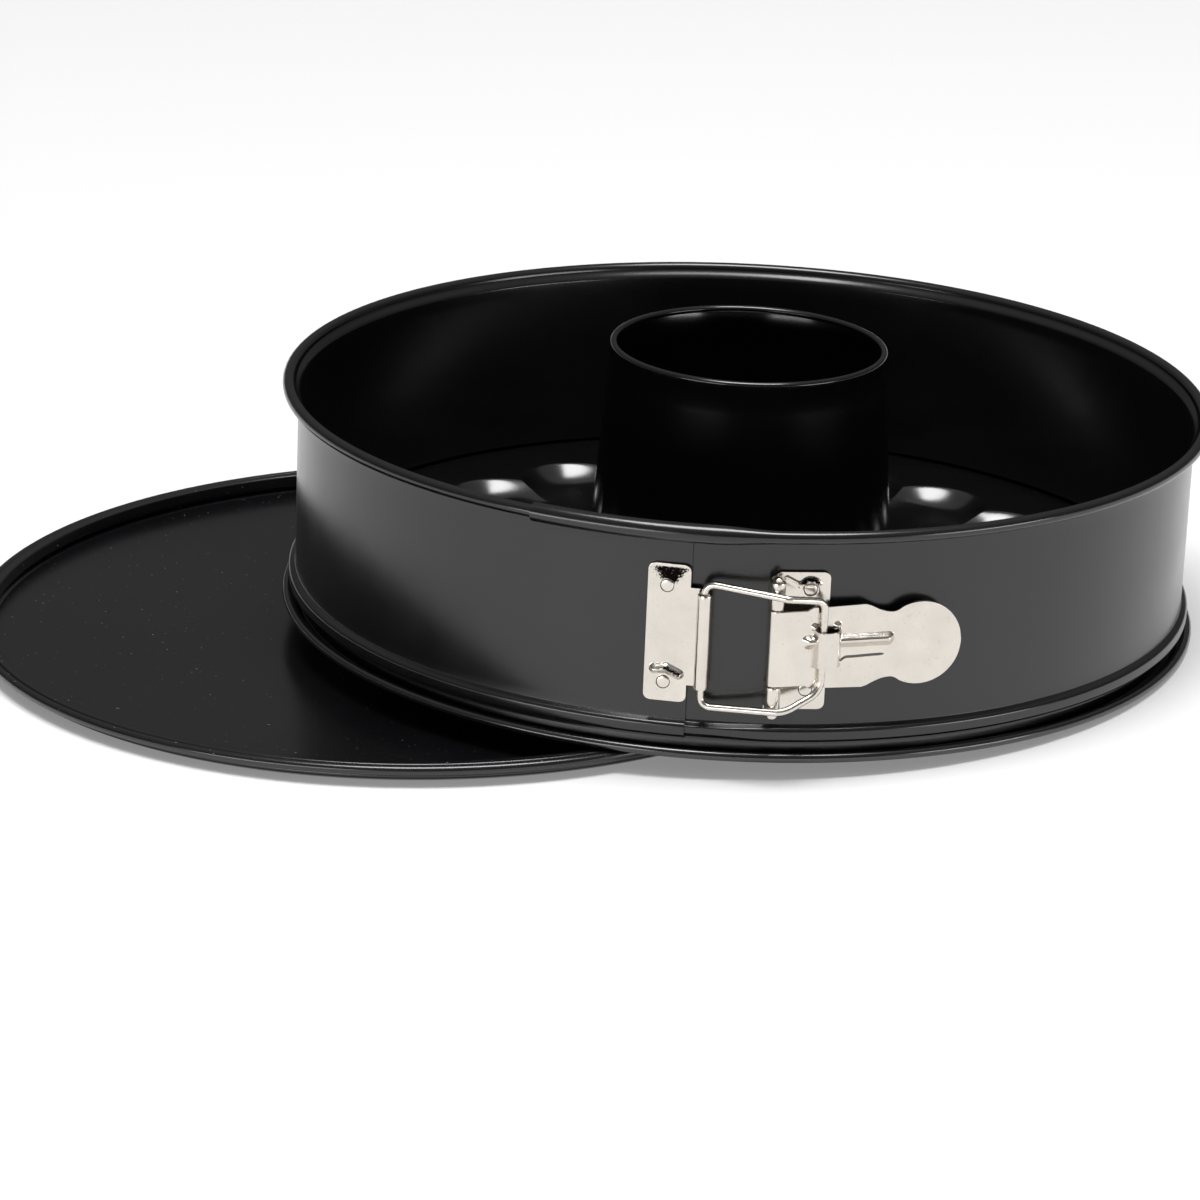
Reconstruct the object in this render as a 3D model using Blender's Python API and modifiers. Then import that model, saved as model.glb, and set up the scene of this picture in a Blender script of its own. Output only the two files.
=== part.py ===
"""Springform tube pan with a spare flat base, as separate pieces with working joints.

Units are metres and +Z is up. The world origin is the middle of the flat base, on the
surface that it lies on. The pan leans on the edge of that base, so everything that belongs
to it hangs from one tilted frame whose local Z is the pan's axis. The clasp is at the front,
towards -Y, in a frame whose -Y points straight out from the pan.

Almost every piece is bent sheet. Its middle surface is modelled first, turned, lofted or
extruded from a section, and a Solidify modifier gives it the thickness of its sheet.
"""

import math

import bmesh
import bpy
from mathutils import Vector

MM = 0.001
GAP = 0.3 * MM

# Ring: the sprung band that makes the outer wall
WALL_RADIUS = 140.5 * MM
BAND_SHEET = 0.6 * MM
BAND_BOTTOM = 4.9 * MM
BAND_TOP = 71.9 * MM
BEAD_HEIGHT = 8.3 * MM
BEAD_HALF = 2.5 * MM
BEAD_STANDOUT = 2.1 * MM
RIM_CURL = 1.9 * MM
RIM_CURL_END = math.radians(-100)

# Lap: the band's right end runs inside its left end and steps out again past it
LAP_STEP = BAND_SHEET + 0.35 * MM
SEAM_ANGLE = math.radians(-101.6)
TONGUE_ANGLE = math.radians(-120.9)
JOGGLE_START = math.radians(-99)
JOGGLE_END = math.radians(-91)

# Rim of both bases: a seat for the ring's bead, a channel, and an edge rolled outward
BASE_SHEET = 0.7 * MM
RIM_OVERHANG = 4.5 * MM
EDGE_ROLL = 1.15 * MM
EDGE_ROLL_END = math.radians(-110)
CHANNEL_INWARD = 1.0 * MM
CHANNEL_OUTWARD = 1.3 * MM
FLOOR_CLEARANCE = 1.05 * MM
SEAT_INWARD = 1.7 * MM
SEAT_REACH = 0.2 * MM
SEAT_TIP_HALF = 0.4 * MM
SEAT_HALF = 1.15 * MM
SEAT_DROP = 1.95 * MM

# The rim's radii follow the band's inner face
BAND_INSIDE = WALL_RADIUS - BAND_SHEET
RIM_RADIUS = BAND_INSIDE + RIM_OVERHANG
CHANNEL_INNER = BAND_INSIDE - CHANNEL_INWARD
CHANNEL_OUTER = BAND_INSIDE + CHANNEL_OUTWARD
FLOOR_RADIUS = BAND_INSIDE - LAP_STEP - FLOOR_CLEARANCE
SEAT_RADIUS = BAND_INSIDE - SEAT_INWARD
SEAT_TIP = BAND_INSIDE + SEAT_REACH
ROLL_CENTRE = RIM_RADIUS - BASE_SHEET / 2 - EDGE_ROLL

# Tube base: its floor is pressed into petals round the hole for the tube
FLOOR_HEIGHT = BEAD_HEIGHT + SEAT_DROP
PETALS = 20
STATIONS_PER_PETAL = 4
PETAL_BORDER = 18.4 * MM
PETAL_NOTCH = 9.0 * MM
PETAL_ROOT = 58.0 * MM
PETAL_TIP = FLOOR_RADIUS - PETAL_BORDER
HUB_DEPTH = 3.5 * MM
HOLLOW_DEPTH = 5.0 * MM
HOLLOW_DEEPEST = 0.5
HOLLOW_STEEPNESS = 0.6
RIDGE_DEPTH = 4.5 * MM
RIDGE_DEEPEST = 0.4
RIDGE_STEEPNESS = 1.0
PETAL_STATIONS = (1.0, 0.7, 0.4, 0.18, 0.05, 0.0)

# Tube
TUBE_SHEET = 0.6 * MM
TUBE_TOP = 85.3 * MM
TUBE_TOP_RADIUS = 43.25 * MM
TUBE_FOOT_RADIUS = 48.65 * MM
FLANGE_WIDTH = 3.75 * MM
TUBE_ROLL = 0.8 * MM
TUBE_ROLL_START = math.radians(-45)
TUBE_ROLL_END = math.radians(235)
TUBE_STATIONS = 36

# Flat base, which lies upside down
FLAT_HEIGHT = 6.4 * MM
FLAT_STATIONS = 44

# How the pan leans on the flat base: the roll's lowest point lies just outside its centre
BASE_DISTANCE = 98.0 * MM
CROSSING = BASE_DISTANCE / 2 - (ROLL_CENTRE**2 - CHANNEL_INNER**2) / (2 * BASE_DISTANCE)
TILT = math.asin((FLAT_HEIGHT + GAP) / (ROLL_CENTRE + CROSSING))
ROLL_FOOT = 0.1 * MM
PAN_LIFT = (ROLL_CENTRE + ROLL_FOOT) * math.sin(TILT)

# Clasp: heights are in the pan's frame
CLASP_ANGLE = math.radians(-88.55)
CATCH_ANGLE = math.radians(-104.2)
CLASP_HEIGHT = 36.6 * MM
PLATE_SHEET = 0.8 * MM
PLATE_BACK = WALL_RADIUS + GAP
PLATE_FRONT = PLATE_BACK + PLATE_SHEET
PLATE_CORNER = 2.0 * MM

# Lever: a strip rolled round the pin at one end, with a round pad for the thumb at the other
LEVER_ANGLE = math.radians(10)
LEVER_SHEET = 0.9 * MM
LEVER_CURL_END = math.radians(-20)
ROOT_HALF = 11.7 * MM
BODY_HALF = 12.7 * MM
BODY_END_HALF = 13.3 * MM
BODY_START = 10.2 * MM
BODY_END = 27.4 * MM
NOTCH_HALF = 10.6 * MM
NOTCH_WIDTH = 3.0 * MM
SHOULDER_LENGTH = 1.5 * MM
SHOULDER_DROP = 0.4 * MM
WAIST_HALF = 10.0 * MM
WAIST_AT = 34.6 * MM
NECK_RISE = 1.2 * MM
THUMB_RADIUS = 12.65 * MM
THUMB_AT = 43.3 * MM
THUMB_END = math.radians(5)
STEP_LENGTH = 0.05 * MM

# Hinge pin, which the lever turns on
PIN_SIDE = -7.5 * MM
PIN_STANDOFF = 3.7 * MM
PIN_OUT = PLATE_FRONT + PIN_STANDOFF
PIN_RADIUS = 1.1 * MM
PIN_CHAMFER = 0.4 * MM
PIN_HEAD = 1.75 * MM
PIN_HEAD_ROUND = 0.75 * MM
PIN_HEAD_LENGTH = 2.9 * MM
PIN_END = 0.5 * MM

# Bracket: a plate whose left edge is rolled into two knuckles, above and below the lever
BRACKET_RIGHT = 8.2 * MM
BRACKET_BELOW = 20.3 * MM
BRACKET_ABOVE = 21.9 * MM
BRACKET_LOW = CLASP_HEIGHT - BRACKET_BELOW
BRACKET_HIGH = CLASP_HEIGHT + BRACKET_ABOVE
KNUCKLE_CURL = PIN_RADIUS + GAP + PLATE_SHEET / 2
KNUCKLE_END = math.radians(-80)
LOW_KNUCKLE_LENGTH = 7.0 * MM
HIGH_KNUCKLE_LENGTH = 8.9 * MM
LOW_KNUCKLE_TOP = CLASP_HEIGHT - ROOT_HALF - GAP
LOW_KNUCKLE_FOOT = LOW_KNUCKLE_TOP - LOW_KNUCKLE_LENGTH
HIGH_KNUCKLE_FOOT = CLASP_HEIGHT + ROOT_HALF + GAP
HIGH_KNUCKLE_TOP = HIGH_KNUCKLE_FOOT + HIGH_KNUCKLE_LENGTH
BRACKET_RIVET_SIDE = 2.4 * MM
BRACKET_RIVET_BELOW = 14.2 * MM
BRACKET_RIVET_ABOVE = 16.6 * MM
BRACKET_RIVET_LOW = CLASP_HEIGHT - BRACKET_RIVET_BELOW
BRACKET_RIVET_HIGH = CLASP_HEIGHT + BRACKET_RIVET_ABOVE
PIN_HEAD_TOP = LOW_KNUCKLE_FOOT - GAP
PIN_BOTTOM = PIN_HEAD_TOP - PIN_HEAD_LENGTH
PIN_TOP = HIGH_KNUCKLE_TOP + PIN_END

# Catch plate: a plate with a tab whose edge is rolled into one long barrel
CATCH_LEFT = -6.2 * MM
CATCH_RIGHT = 6.4 * MM
CATCH_BELOW = 19.8 * MM
CATCH_ABOVE = 22.3 * MM
CATCH_LOW = CLASP_HEIGHT - CATCH_BELOW
CATCH_HIGH = CLASP_HEIGHT + CATCH_ABOVE
TAB_RIGHT = 8.3 * MM
TAB_HALF = 15.4 * MM
BARREL_BEYOND_TAB = 2.6 * MM
BARREL_SIDE = TAB_RIGHT + BARREL_BEYOND_TAB
BARREL_LAP = 1.5 * MM
BARREL_HALF = 14.2 * MM
BARREL_CURL = 1.8 * MM
BARREL_END = math.radians(200)
BARREL_OUT = PLATE_BACK + PLATE_SHEET / 2 + BARREL_CURL
CATCH_RIVET_SIDE = -0.5 * MM
CATCH_RIVET_BELOW = 14.0 * MM
CATCH_RIVET_ABOVE = 15.7 * MM
CATCH_RIVET_LOW = CLASP_HEIGHT - CATCH_RIVET_BELOW
CATCH_RIVET_HIGH = CLASP_HEIGHT + CATCH_RIVET_ABOVE
NUB_BELOW = 9.4 * MM
NUB_HEIGHT = CLASP_HEIGHT - NUB_BELOW
NUB_HALF = 3.6 * MM
NUB_RISE = 1.3 * MM
NUB_WIDTH = 1.5 * MM
NUB_STANDOUT = 0.6 * MM

# Rivets
RIVET_RADIUS = 1.8 * MM
RIVET_HOLE = RIVET_RADIUS + GAP
RIVET_STANDOUT = 0.15 * MM
RIVET_HEAD = 2.7 * MM
RIVET_HEAD_ROUND = 0.4 * MM
RIVET_HEAD_THICK = 0.5 * MM
DRILL_REACH = 2.0 * MM

# Bail: one wire with a straight leg, two arms kinked past the pin, and two short ends.
# It stands a little askew, so its corners have their own heights above and below the middle.
WIRE_RADIUS = 1.0 * MM
LEG_SIDE = 6.2 * MM
LEG_ABOVE = 14.75 * MM
LEG_BELOW = 13.0 * MM
KINK_PAST_PIN = 2.5 * MM
KINK_SIDE = PIN_SIDE + KINK_PAST_PIN
KINK_CLEARANCE = 1.65 * MM
KINK_OUT = PIN_OUT + KNUCKLE_CURL + PLATE_SHEET / 2 + KINK_CLEARANCE + WIRE_RADIUS
KINK_ABOVE = 16.4 * MM
KINK_BELOW = 18.5 * MM
ARM_ABOVE = 18.0 * MM
ARM_BELOW = 20.0 * MM
BEND_RADIUS = 3.0 * MM
LEG_BEND_RADIUS = 2.7 * MM

# Bridge over the bail's leg, and the ribs that run from it both ways
BRIDGE_LEFT = 2.45 * MM
BRIDGE_RIGHT = 4.55 * MM
BRIDGE_HALF = 5.7 * MM
BRIDGE_RISE = 3.5 * MM
BRIDGE_SLOPE = 1.4 * MM
RIB_RISE = 1.0 * MM
RIB_DRAFT = 0.7 * MM
SHORT_RIB_START = 5.6 * MM
SHORT_RIB_HALF = 1.6 * MM
LONG_RIB_END = 34.8 * MM
LONG_RIB_HALF = 4.2 * MM
LONG_RIB_END_HALF = 3.0 * MM

# Where the bail's leg crosses the lever: along and out from the hinge pin
LEVER_CURL = PIN_RADIUS + GAP + LEVER_SHEET / 2
LEVER_FACE = LEVER_CURL + LEVER_SHEET / 2
LEG_OUT = LEVER_FACE + GAP + WIRE_RADIUS
LEG_ALONG = (LEG_SIDE - PIN_SIDE - LEG_OUT * math.sin(LEVER_ANGLE)) / math.cos(LEVER_ANGLE)
LEG_FROM_AXIS = PIN_OUT - LEG_ALONG * math.sin(LEVER_ANGLE) + LEG_OUT * math.cos(LEVER_ANGLE)

STATION = math.tau / (PETALS * STATIONS_PER_PETAL)
QUARTER = math.radians(90)
OUTWARD = (QUARTER, 0, 0)


def clear_scene():
    """Removes what the startup scene holds."""
    for obj in list(bpy.data.objects):
        bpy.data.objects.remove(obj)


def new_collection(name, hidden=False):
    """A collection linked to the scene, left out of renders when it holds cutters."""
    group = bpy.data.collections.new(name)
    bpy.context.scene.collection.children.link(group)
    group.hide_render = hidden
    return group


def new_material(name, colour, roughness, metallic):
    """A Principled material with one colour."""
    material = bpy.data.materials.new(name)
    material.use_nodes = True
    shader = material.node_tree.nodes["Principled BSDF"]
    shader.inputs["Base Color"].default_value = (*colour, 1)
    shader.inputs["Roughness"].default_value = roughness
    shader.inputs["Metallic"].default_value = metallic
    material.diffuse_color = (*colour, 1)
    return material


def new_frame(name, group, parent=None, location=(0, 0, 0), rotation=(0, 0, 0)):
    """An empty that pieces are hung from."""
    frame = bpy.data.objects.new(name, None)
    frame.parent = parent
    frame.location = location
    frame.rotation_euler = rotation
    group.objects.link(frame)
    return frame


def place(data, name, group, parent, location=(0, 0, 0), rotation=(0, 0, 0)):
    """Puts a mesh or a curve in the scene under its parent."""
    obj = bpy.data.objects.new(name, data)
    obj.parent = parent
    obj.location = location
    obj.rotation_euler = rotation
    group.objects.link(obj)
    return obj


def finished(bm, name):
    """Turns a bmesh into a smooth mesh whose faces agree."""
    bmesh.ops.recalc_face_normals(bm, faces=bm.faces)
    mesh = bpy.data.meshes.new(name)
    bm.to_mesh(mesh)
    bm.free()
    mesh.shade_smooth()
    mesh.set_sharp_from_angle(angle=math.radians(32))
    return mesh


def cutter(data, name, parent, location=(0, 0, 0), rotation=(0, 0, 0)):
    """A helper that only a Boolean uses."""
    group = bpy.data.collections["cutters"]
    obj = place(data, name, group, parent, location, rotation)
    obj.hide_render = True
    obj.display_type = "WIRE"
    return obj


def thicken(obj, sheet):
    """Gives a middle surface the thickness of its sheet."""
    modifier = obj.modifiers.new("sheet", "SOLIDIFY")
    modifier.thickness = sheet
    modifier.offset = 0
    modifier.use_even_offset = True
    modifier.use_quality_normals = True


def turn(obj, stations):
    """Turns a profile once round its own Z."""
    modifier = obj.modifiers.new("turn", "SCREW")
    modifier.steps = stations
    modifier.render_steps = stations
    modifier.use_merge_vertices = True
    modifier.merge_threshold = 0.00001


def combine(obj, other, operation):
    """Adds one exact Boolean."""
    modifier = obj.modifiers.new(f"{operation.lower()} {other.name}", "BOOLEAN")
    modifier.operation = operation
    modifier.object = other
    modifier.solver = "EXACT"


def profile(points, name):
    """A line of (radius, height) points in the XZ plane, to be turned."""
    mesh = bpy.data.meshes.new(name)
    edges = [(i, i + 1) for i in range(len(points) - 1)]
    mesh.from_pydata([(r, 0, h) for r, h in points], edges, [])
    return mesh


def loft(rows, name, closed=False):
    """An open surface through rows of points, from the last back to the first if closed."""
    bm = bmesh.new()
    made = [[bm.verts.new(point) for point in row] for row in rows]
    neighbours = made[1:] + made[:1] if closed else made[1:]
    for row, following in zip(made, neighbours):
        for a, b, c, d in zip(row, row[1:], following[1:], following):
            bm.faces.new((a, b, c, d))
    return finished(bm, name)


def folded(points, low, high, name):
    """A line of (x, y) points drawn up from one height to another, like sheet on a brake."""
    bm = bmesh.new()
    verts = [bm.verts.new((x, y, low)) for x, y in points]
    edges = [bm.edges.new(pair) for pair in zip(verts, verts[1:])]
    grown = bmesh.ops.extrude_edge_only(bm, edges=edges)["geom"]
    risen = [part for part in grown if isinstance(part, bmesh.types.BMVert)]
    bmesh.ops.translate(bm, verts=risen, vec=(0, 0, high - low))
    return finished(bm, name)


def flat_plate(outline, thickness, name):
    """A mesh cut from flat sheet, centred on its own XY plane."""
    curve = bpy.data.curves.new(name, "CURVE")
    curve.dimensions = "2D"
    curve.fill_mode = "BOTH"
    curve.extrude = thickness / 2
    spline = curve.splines.new("POLY")
    spline.points.add(len(outline) - 1)
    spline.use_cyclic_u = True
    for point, (x, y) in zip(spline.points, outline):
        point.co = (x, y, 0, 1)
    holder = place(curve, f"{name}_outline", bpy.data.collections["cutters"], None)
    graph = bpy.context.evaluated_depsgraph_get()
    bm = bmesh.new()
    bm.from_mesh(bpy.data.meshes.new_from_object(holder.evaluated_get(graph)))
    bpy.data.objects.remove(holder)
    bmesh.ops.remove_doubles(bm, verts=bm.verts, dist=0.000001)
    return finished(bm, name)


def arc(centre, radius, start, end, steps):
    """Points on a circular arc in a plane, both ends included."""
    angles = [start + (end - start) * i / steps for i in range(steps + 1)]
    return [
        (centre[0] + radius * math.cos(a), centre[1] + radius * math.sin(a)) for a in angles
    ]


def corner_arc(before, corner, after, radius, steps=4):
    """Points of the arc that rounds a corner between two neighbouring points."""
    towards = (before - corner).normalized()
    away = (after - corner).normalized()
    half = towards.angle(away) / 2
    middle = corner + (towards + away).normalized() * radius / math.sin(half)
    start = corner + towards * radius / math.tan(half) - middle
    end = corner + away * radius / math.tan(half) - middle
    return [middle + start.slerp(end, i / steps).normalized() * radius for i in range(steps + 1)]


def rounded(corners, closed):
    """The points of a line whose corners (point, radius) are rounded where radius is set."""
    points = []
    for i, (corner, radius) in enumerate(corners):
        end = not closed and i in (0, len(corners) - 1)
        if end or not radius:
            points.append(corner)
            continue
        before = corners[i - 1][0]
        after = corners[(i + 1) % len(corners)][0]
        points.extend(corner_arc(before, corner, after, radius))
    return points


def offset_line(points, distance):
    """A line of (x, y) points moved to its left by distance, with mitred corners."""
    normals = []
    for (x0, y0), (x1, y1) in zip(points, points[1:]):
        length = math.hypot(x1 - x0, y1 - y0)
        normals.append(((y0 - y1) / length, (x1 - x0) / length))
    moved = []
    for i, (x, y) in enumerate(points):
        ax, ay = normals[max(i - 1, 0)]
        bx, by = normals[min(i, len(normals) - 1)]
        scale = distance / (1 + ax * bx + ay * by)
        moved.append((x + (ax + bx) * scale, y + (ay + by) * scale))
    return moved


def around(points, angle):
    """A section of (radius, height) points stood at an angle round Z."""
    return [(r * math.cos(angle), r * math.sin(angle), h) for r, h in points]


def drill(obj, name, parent, side, height, near, far):
    """Cuts a round rivet hole that points straight out from the pan."""
    bm = bmesh.new()
    bmesh.ops.create_cone(
        bm,
        cap_ends=True,
        segments=12,
        radius1=RIVET_HOLE,
        radius2=RIVET_HOLE,
        depth=far - near,
    )
    place_at = (side, -(near + far) / 2, height)
    combine(obj, cutter(finished(bm, name), name, parent, place_at, OUTWARD), "DIFFERENCE")


def band_section():
    """Middle line of the band, from its bottom edge up over the bead to the end of the curl."""
    middle = WALL_RADIUS - BAND_SHEET / 2
    crest = middle + BEAD_STANDOUT
    foot = [
        (middle, BAND_BOTTOM),
        (middle, BEAD_HEIGHT - BEAD_HALF),
        (crest, BEAD_HEIGHT - BEAD_HALF / 2),
        (crest, BEAD_HEIGHT + BEAD_HALF / 2),
        (middle, BEAD_HEIGHT + BEAD_HALF),
    ]
    centre = (middle + RIM_CURL, BAND_TOP - RIM_CURL - BAND_SHEET / 2)
    return foot + arc(centre, RIM_CURL, math.pi, RIM_CURL_END, 5)


def lap_offset(angle):
    """How far inside its outer layer the band runs at this angle."""
    part = (angle - JOGGLE_START) / (JOGGLE_END - JOGGLE_START)
    part = min(max(part, 0), 1)
    return LAP_STEP * (1 + math.cos(math.pi * part)) / 2


def make_band(group, pan, clasp, catch, material):
    """The sprung band: one sheet whose right end runs inside its left end."""
    end = SEAM_ANGLE + math.tau
    first = math.ceil(TONGUE_ANGLE / STATION)
    last = math.floor(end / STATION)
    angles = [TONGUE_ANGLE, *[i * STATION for i in range(first, last + 1)], end]
    section = band_section()
    rows = [around(offset_line(section, lap_offset(a)), a) for a in angles]
    band = place(loft(rows, "ring_band"), "ring_band", group, pan)
    band.data.materials.append(material)
    thicken(band, BAND_SHEET)
    outside = WALL_RADIUS + DRILL_REACH
    inner_layer = WALL_RADIUS - DRILL_REACH
    for n, height in enumerate((CATCH_RIVET_LOW, CATCH_RIVET_HIGH)):
        near = BAND_INSIDE - (LAP_STEP - BAND_SHEET) / 2
        drill(band, f"catch_hole_{n}", catch, CATCH_RIVET_SIDE, height, near, outside)
    for n, height in enumerate((BRACKET_RIVET_LOW, BRACKET_RIVET_HIGH)):
        side = BRACKET_RIVET_SIDE
        drill(band, f"bracket_hole_{n}", clasp, side, height, inner_layer, outside)


def rim_section(floor):
    """Middle line of a base's edge, from the corner of its floor to the end of its roll."""
    seat = floor - SEAT_DROP
    low = BASE_SHEET / 2
    channel = [
        (FLOOR_RADIUS, floor - low),
        (SEAT_TIP, seat + SEAT_TIP_HALF),
        (SEAT_TIP, seat - SEAT_TIP_HALF),
        (SEAT_RADIUS, seat - SEAT_HALF),
        (CHANNEL_INNER, low),
        (CHANNEL_OUTER, low),
    ]
    return channel + arc((ROLL_CENTRE, low + EDGE_ROLL), EDGE_ROLL, math.pi, EDGE_ROLL_END, 4)


def sunk(inward, depth, deepest, steepness):
    """How far the tube base's floor lies below its border.

    inward is 0 at the petal's outer edge and 1 at its root, where the floor meets the hub.
    """
    fall = depth * math.sin(QUARTER * min(1.0, inward / deepest) ** steepness)
    rise = (depth - HUB_DEPTH) * max(0.0, (inward - deepest) / (1 - deepest)) ** 2
    return fall - rise


def petal_section(across):
    """Middle line of the tube base's floor from its hole to its flat border.

    across is 0 in the middle of a petal and 1 on the ridge between two.
    """
    middle = FLOOR_HEIGHT - BASE_SHEET / 2
    tip = PETAL_TIP - PETAL_NOTCH * across**2
    points = [(TUBE_FOOT_RADIUS + TUBE_SHEET / 2 + GAP, middle - HUB_DEPTH)]
    for inward in PETAL_STATIONS:
        hollow = sunk(inward, HOLLOW_DEPTH, HOLLOW_DEEPEST, HOLLOW_STEEPNESS)
        ridge = sunk(inward, RIDGE_DEPTH, RIDGE_DEEPEST, RIDGE_STEEPNESS)
        depth = hollow + (ridge - hollow) * across**2
        points.append((tip + (PETAL_ROOT - tip) * inward, middle - depth))
    return points


def make_tube_base(group, pan, material):
    """The base with petal-shaped hollows and a hole for the tube."""
    rim = rim_section(FLOOR_HEIGHT)
    rows = []
    for i in range(PETALS * STATIONS_PER_PETAL):
        across = abs(2 * ((i / STATIONS_PER_PETAL) % 1.0) - 1)
        rows.append(around(petal_section(across) + rim, i * STATION))
    base = place(loft(rows, "tube_base_plate", closed=True), "tube_base_plate", group, pan)
    base.data.materials.append(material)
    thicken(base, BASE_SHEET)


def make_tube(group, pan, material):
    """The conical tube, flanged under the base's hole and rolled at its top."""
    flange = FLOOR_HEIGHT - HUB_DEPTH - BASE_SHEET - GAP - TUBE_SHEET / 2
    centre = (TUBE_TOP_RADIUS - TUBE_ROLL, TUBE_TOP - TUBE_SHEET / 2 - TUBE_ROLL)
    section = [
        (TUBE_FOOT_RADIUS + FLANGE_WIDTH, flange),
        (TUBE_FOOT_RADIUS, flange),
        *arc(centre, TUBE_ROLL, TUBE_ROLL_START, TUBE_ROLL_END, 5),
    ]
    tube = place(profile(section, "tube"), "tube", group, pan)
    tube.data.materials.append(material)
    turn(tube, TUBE_STATIONS)
    thicken(tube, TUBE_SHEET)


def make_flat_base(group, material):
    """The spare base, turned over so that its floor lies on the surface."""
    section = [(0, FLAT_HEIGHT - BASE_SHEET / 2), *rim_section(FLAT_HEIGHT)]
    inverted = [(r, FLAT_HEIGHT - h) for r, h in section]
    base = place(profile(inverted, "flat_base"), "flat_base", group, None)
    base.data.materials.append(material)
    turn(base, FLAT_STATIONS)
    thicken(base, BASE_SHEET)


def standing_plate(name, corners, group, parent, material):
    """A flat plate against the wall's outside, from (side, height, corner radius) corners."""
    outline = rounded([(Vector((x, z)), radius) for x, z, radius in corners], True)
    middle = (0, -(PLATE_BACK + PLATE_SHEET / 2), 0)
    mesh = flat_plate(outline, PLATE_SHEET, name)
    obj = place(mesh, name, group, parent, middle, OUTWARD)
    obj.data.materials.append(material)
    return obj


def add_fold(obj, name, parent, points, low, high, sheet, location=(0, 0, 0), rotation=(0, 0, 0)):
    """Joins a folded strip to a plate, from (side, out) points of its middle line."""
    mesh = folded([(x, -out) for x, out in points], low, high, name)
    fold = cutter(mesh, name, parent, location, rotation)
    thicken(fold, sheet)
    combine(obj, fold, "UNION")


def make_catch(group, catch, material):
    """The plate on the band's left end, with the long barrel that holds the bail."""
    low = CLASP_HEIGHT - TAB_HALF
    high = CLASP_HEIGHT + TAB_HALF
    corners = [
        (CATCH_LEFT, CATCH_LOW, PLATE_CORNER),
        (CATCH_RIGHT, CATCH_LOW, PLATE_CORNER),
        (CATCH_RIGHT, low, 0),
        (TAB_RIGHT, low, 0),
        (TAB_RIGHT, high, 0),
        (CATCH_RIGHT, high, 0),
        (CATCH_RIGHT, CATCH_HIGH, PLATE_CORNER),
        (CATCH_LEFT, CATCH_HIGH, PLATE_CORNER),
    ]
    body = standing_plate("catch_plate", corners, group, catch, material)
    centre = (BARREL_SIDE, BARREL_OUT)
    root = (TAB_RIGHT - BARREL_LAP, PLATE_BACK + PLATE_SHEET / 2)
    line = [root, *arc(centre, BARREL_CURL, -QUARTER, BARREL_END, 12)]
    foot = CLASP_HEIGHT - BARREL_HALF
    head = CLASP_HEIGHT + BARREL_HALF
    add_fold(body, "catch_barrel", catch, line, foot, head, PLATE_SHEET)

    chevron = [(-NUB_HALF, -NUB_RISE), (0, NUB_RISE), (NUB_HALF, -NUB_RISE)]
    mesh = folded(chevron, -PLATE_SHEET / 2, NUB_STANDOUT, "catch_nub")
    nub = cutter(mesh, "catch_nub", catch, (0, -PLATE_FRONT, NUB_HEIGHT), OUTWARD)
    thicken(nub, NUB_WIDTH)
    combine(body, nub, "UNION")
    for n, height in enumerate((CATCH_RIVET_LOW, CATCH_RIVET_HIGH)):
        name = f"catch_plate_hole_{n}"
        drill(body, name, catch, CATCH_RIVET_SIDE, height, WALL_RADIUS, PLATE_FRONT + GAP)


def make_bracket(group, clasp, material):
    """The plate on the band's right end, with two knuckles for the hinge pin."""
    edge = PIN_SIDE - KNUCKLE_CURL
    left = edge - PLATE_SHEET / 2
    corners = [
        (left, BRACKET_LOW, 0),
        (BRACKET_RIGHT, BRACKET_LOW, PLATE_CORNER),
        (BRACKET_RIGHT, BRACKET_HIGH, PLATE_CORNER),
        (left, BRACKET_HIGH, 0),
    ]
    body = standing_plate("bracket", corners, group, clasp, material)
    root = (edge, PLATE_BACK + PLATE_SHEET / 4)
    line = [root, *arc((PIN_SIDE, PIN_OUT), KNUCKLE_CURL, math.pi, KNUCKLE_END, 9)]
    for name, low, high in (
        ("low_knuckle", LOW_KNUCKLE_FOOT, LOW_KNUCKLE_TOP),
        ("high_knuckle", HIGH_KNUCKLE_FOOT, HIGH_KNUCKLE_TOP),
    ):
        add_fold(body, name, clasp, line, low, high, PLATE_SHEET)
    for n, height in enumerate((BRACKET_RIVET_LOW, BRACKET_RIVET_HIGH)):
        name = f"bracket_plate_hole_{n}"
        drill(body, name, clasp, BRACKET_RIVET_SIDE, height, WALL_RADIUS, PLATE_FRONT + GAP)


def make_rivet(name, group, parent, side, height, headed, material):
    """A flush rivet, with a head inside the wall unless the band's other end runs there."""
    front = PLATE_FRONT + RIVET_STANDOUT
    section = [
        (0, front),
        (RIVET_RADIUS - RIVET_STANDOUT, front),
        (RIVET_RADIUS, front - RIVET_STANDOUT),
    ]
    if headed:
        face = BAND_INSIDE - GAP
        back = face - RIVET_HEAD_THICK
        crown = RIVET_HEAD - RIVET_HEAD_ROUND
        section += [(RIVET_RADIUS, face), (RIVET_HEAD, face), (crown, back), (0, back)]
    else:
        section += [(RIVET_RADIUS, BAND_INSIDE), (0, BAND_INSIDE)]
    rivet = place(profile(section, name), name, group, parent, (side, 0, height), OUTWARD)
    rivet.data.materials.append(material)
    turn(rivet, 12)


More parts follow.
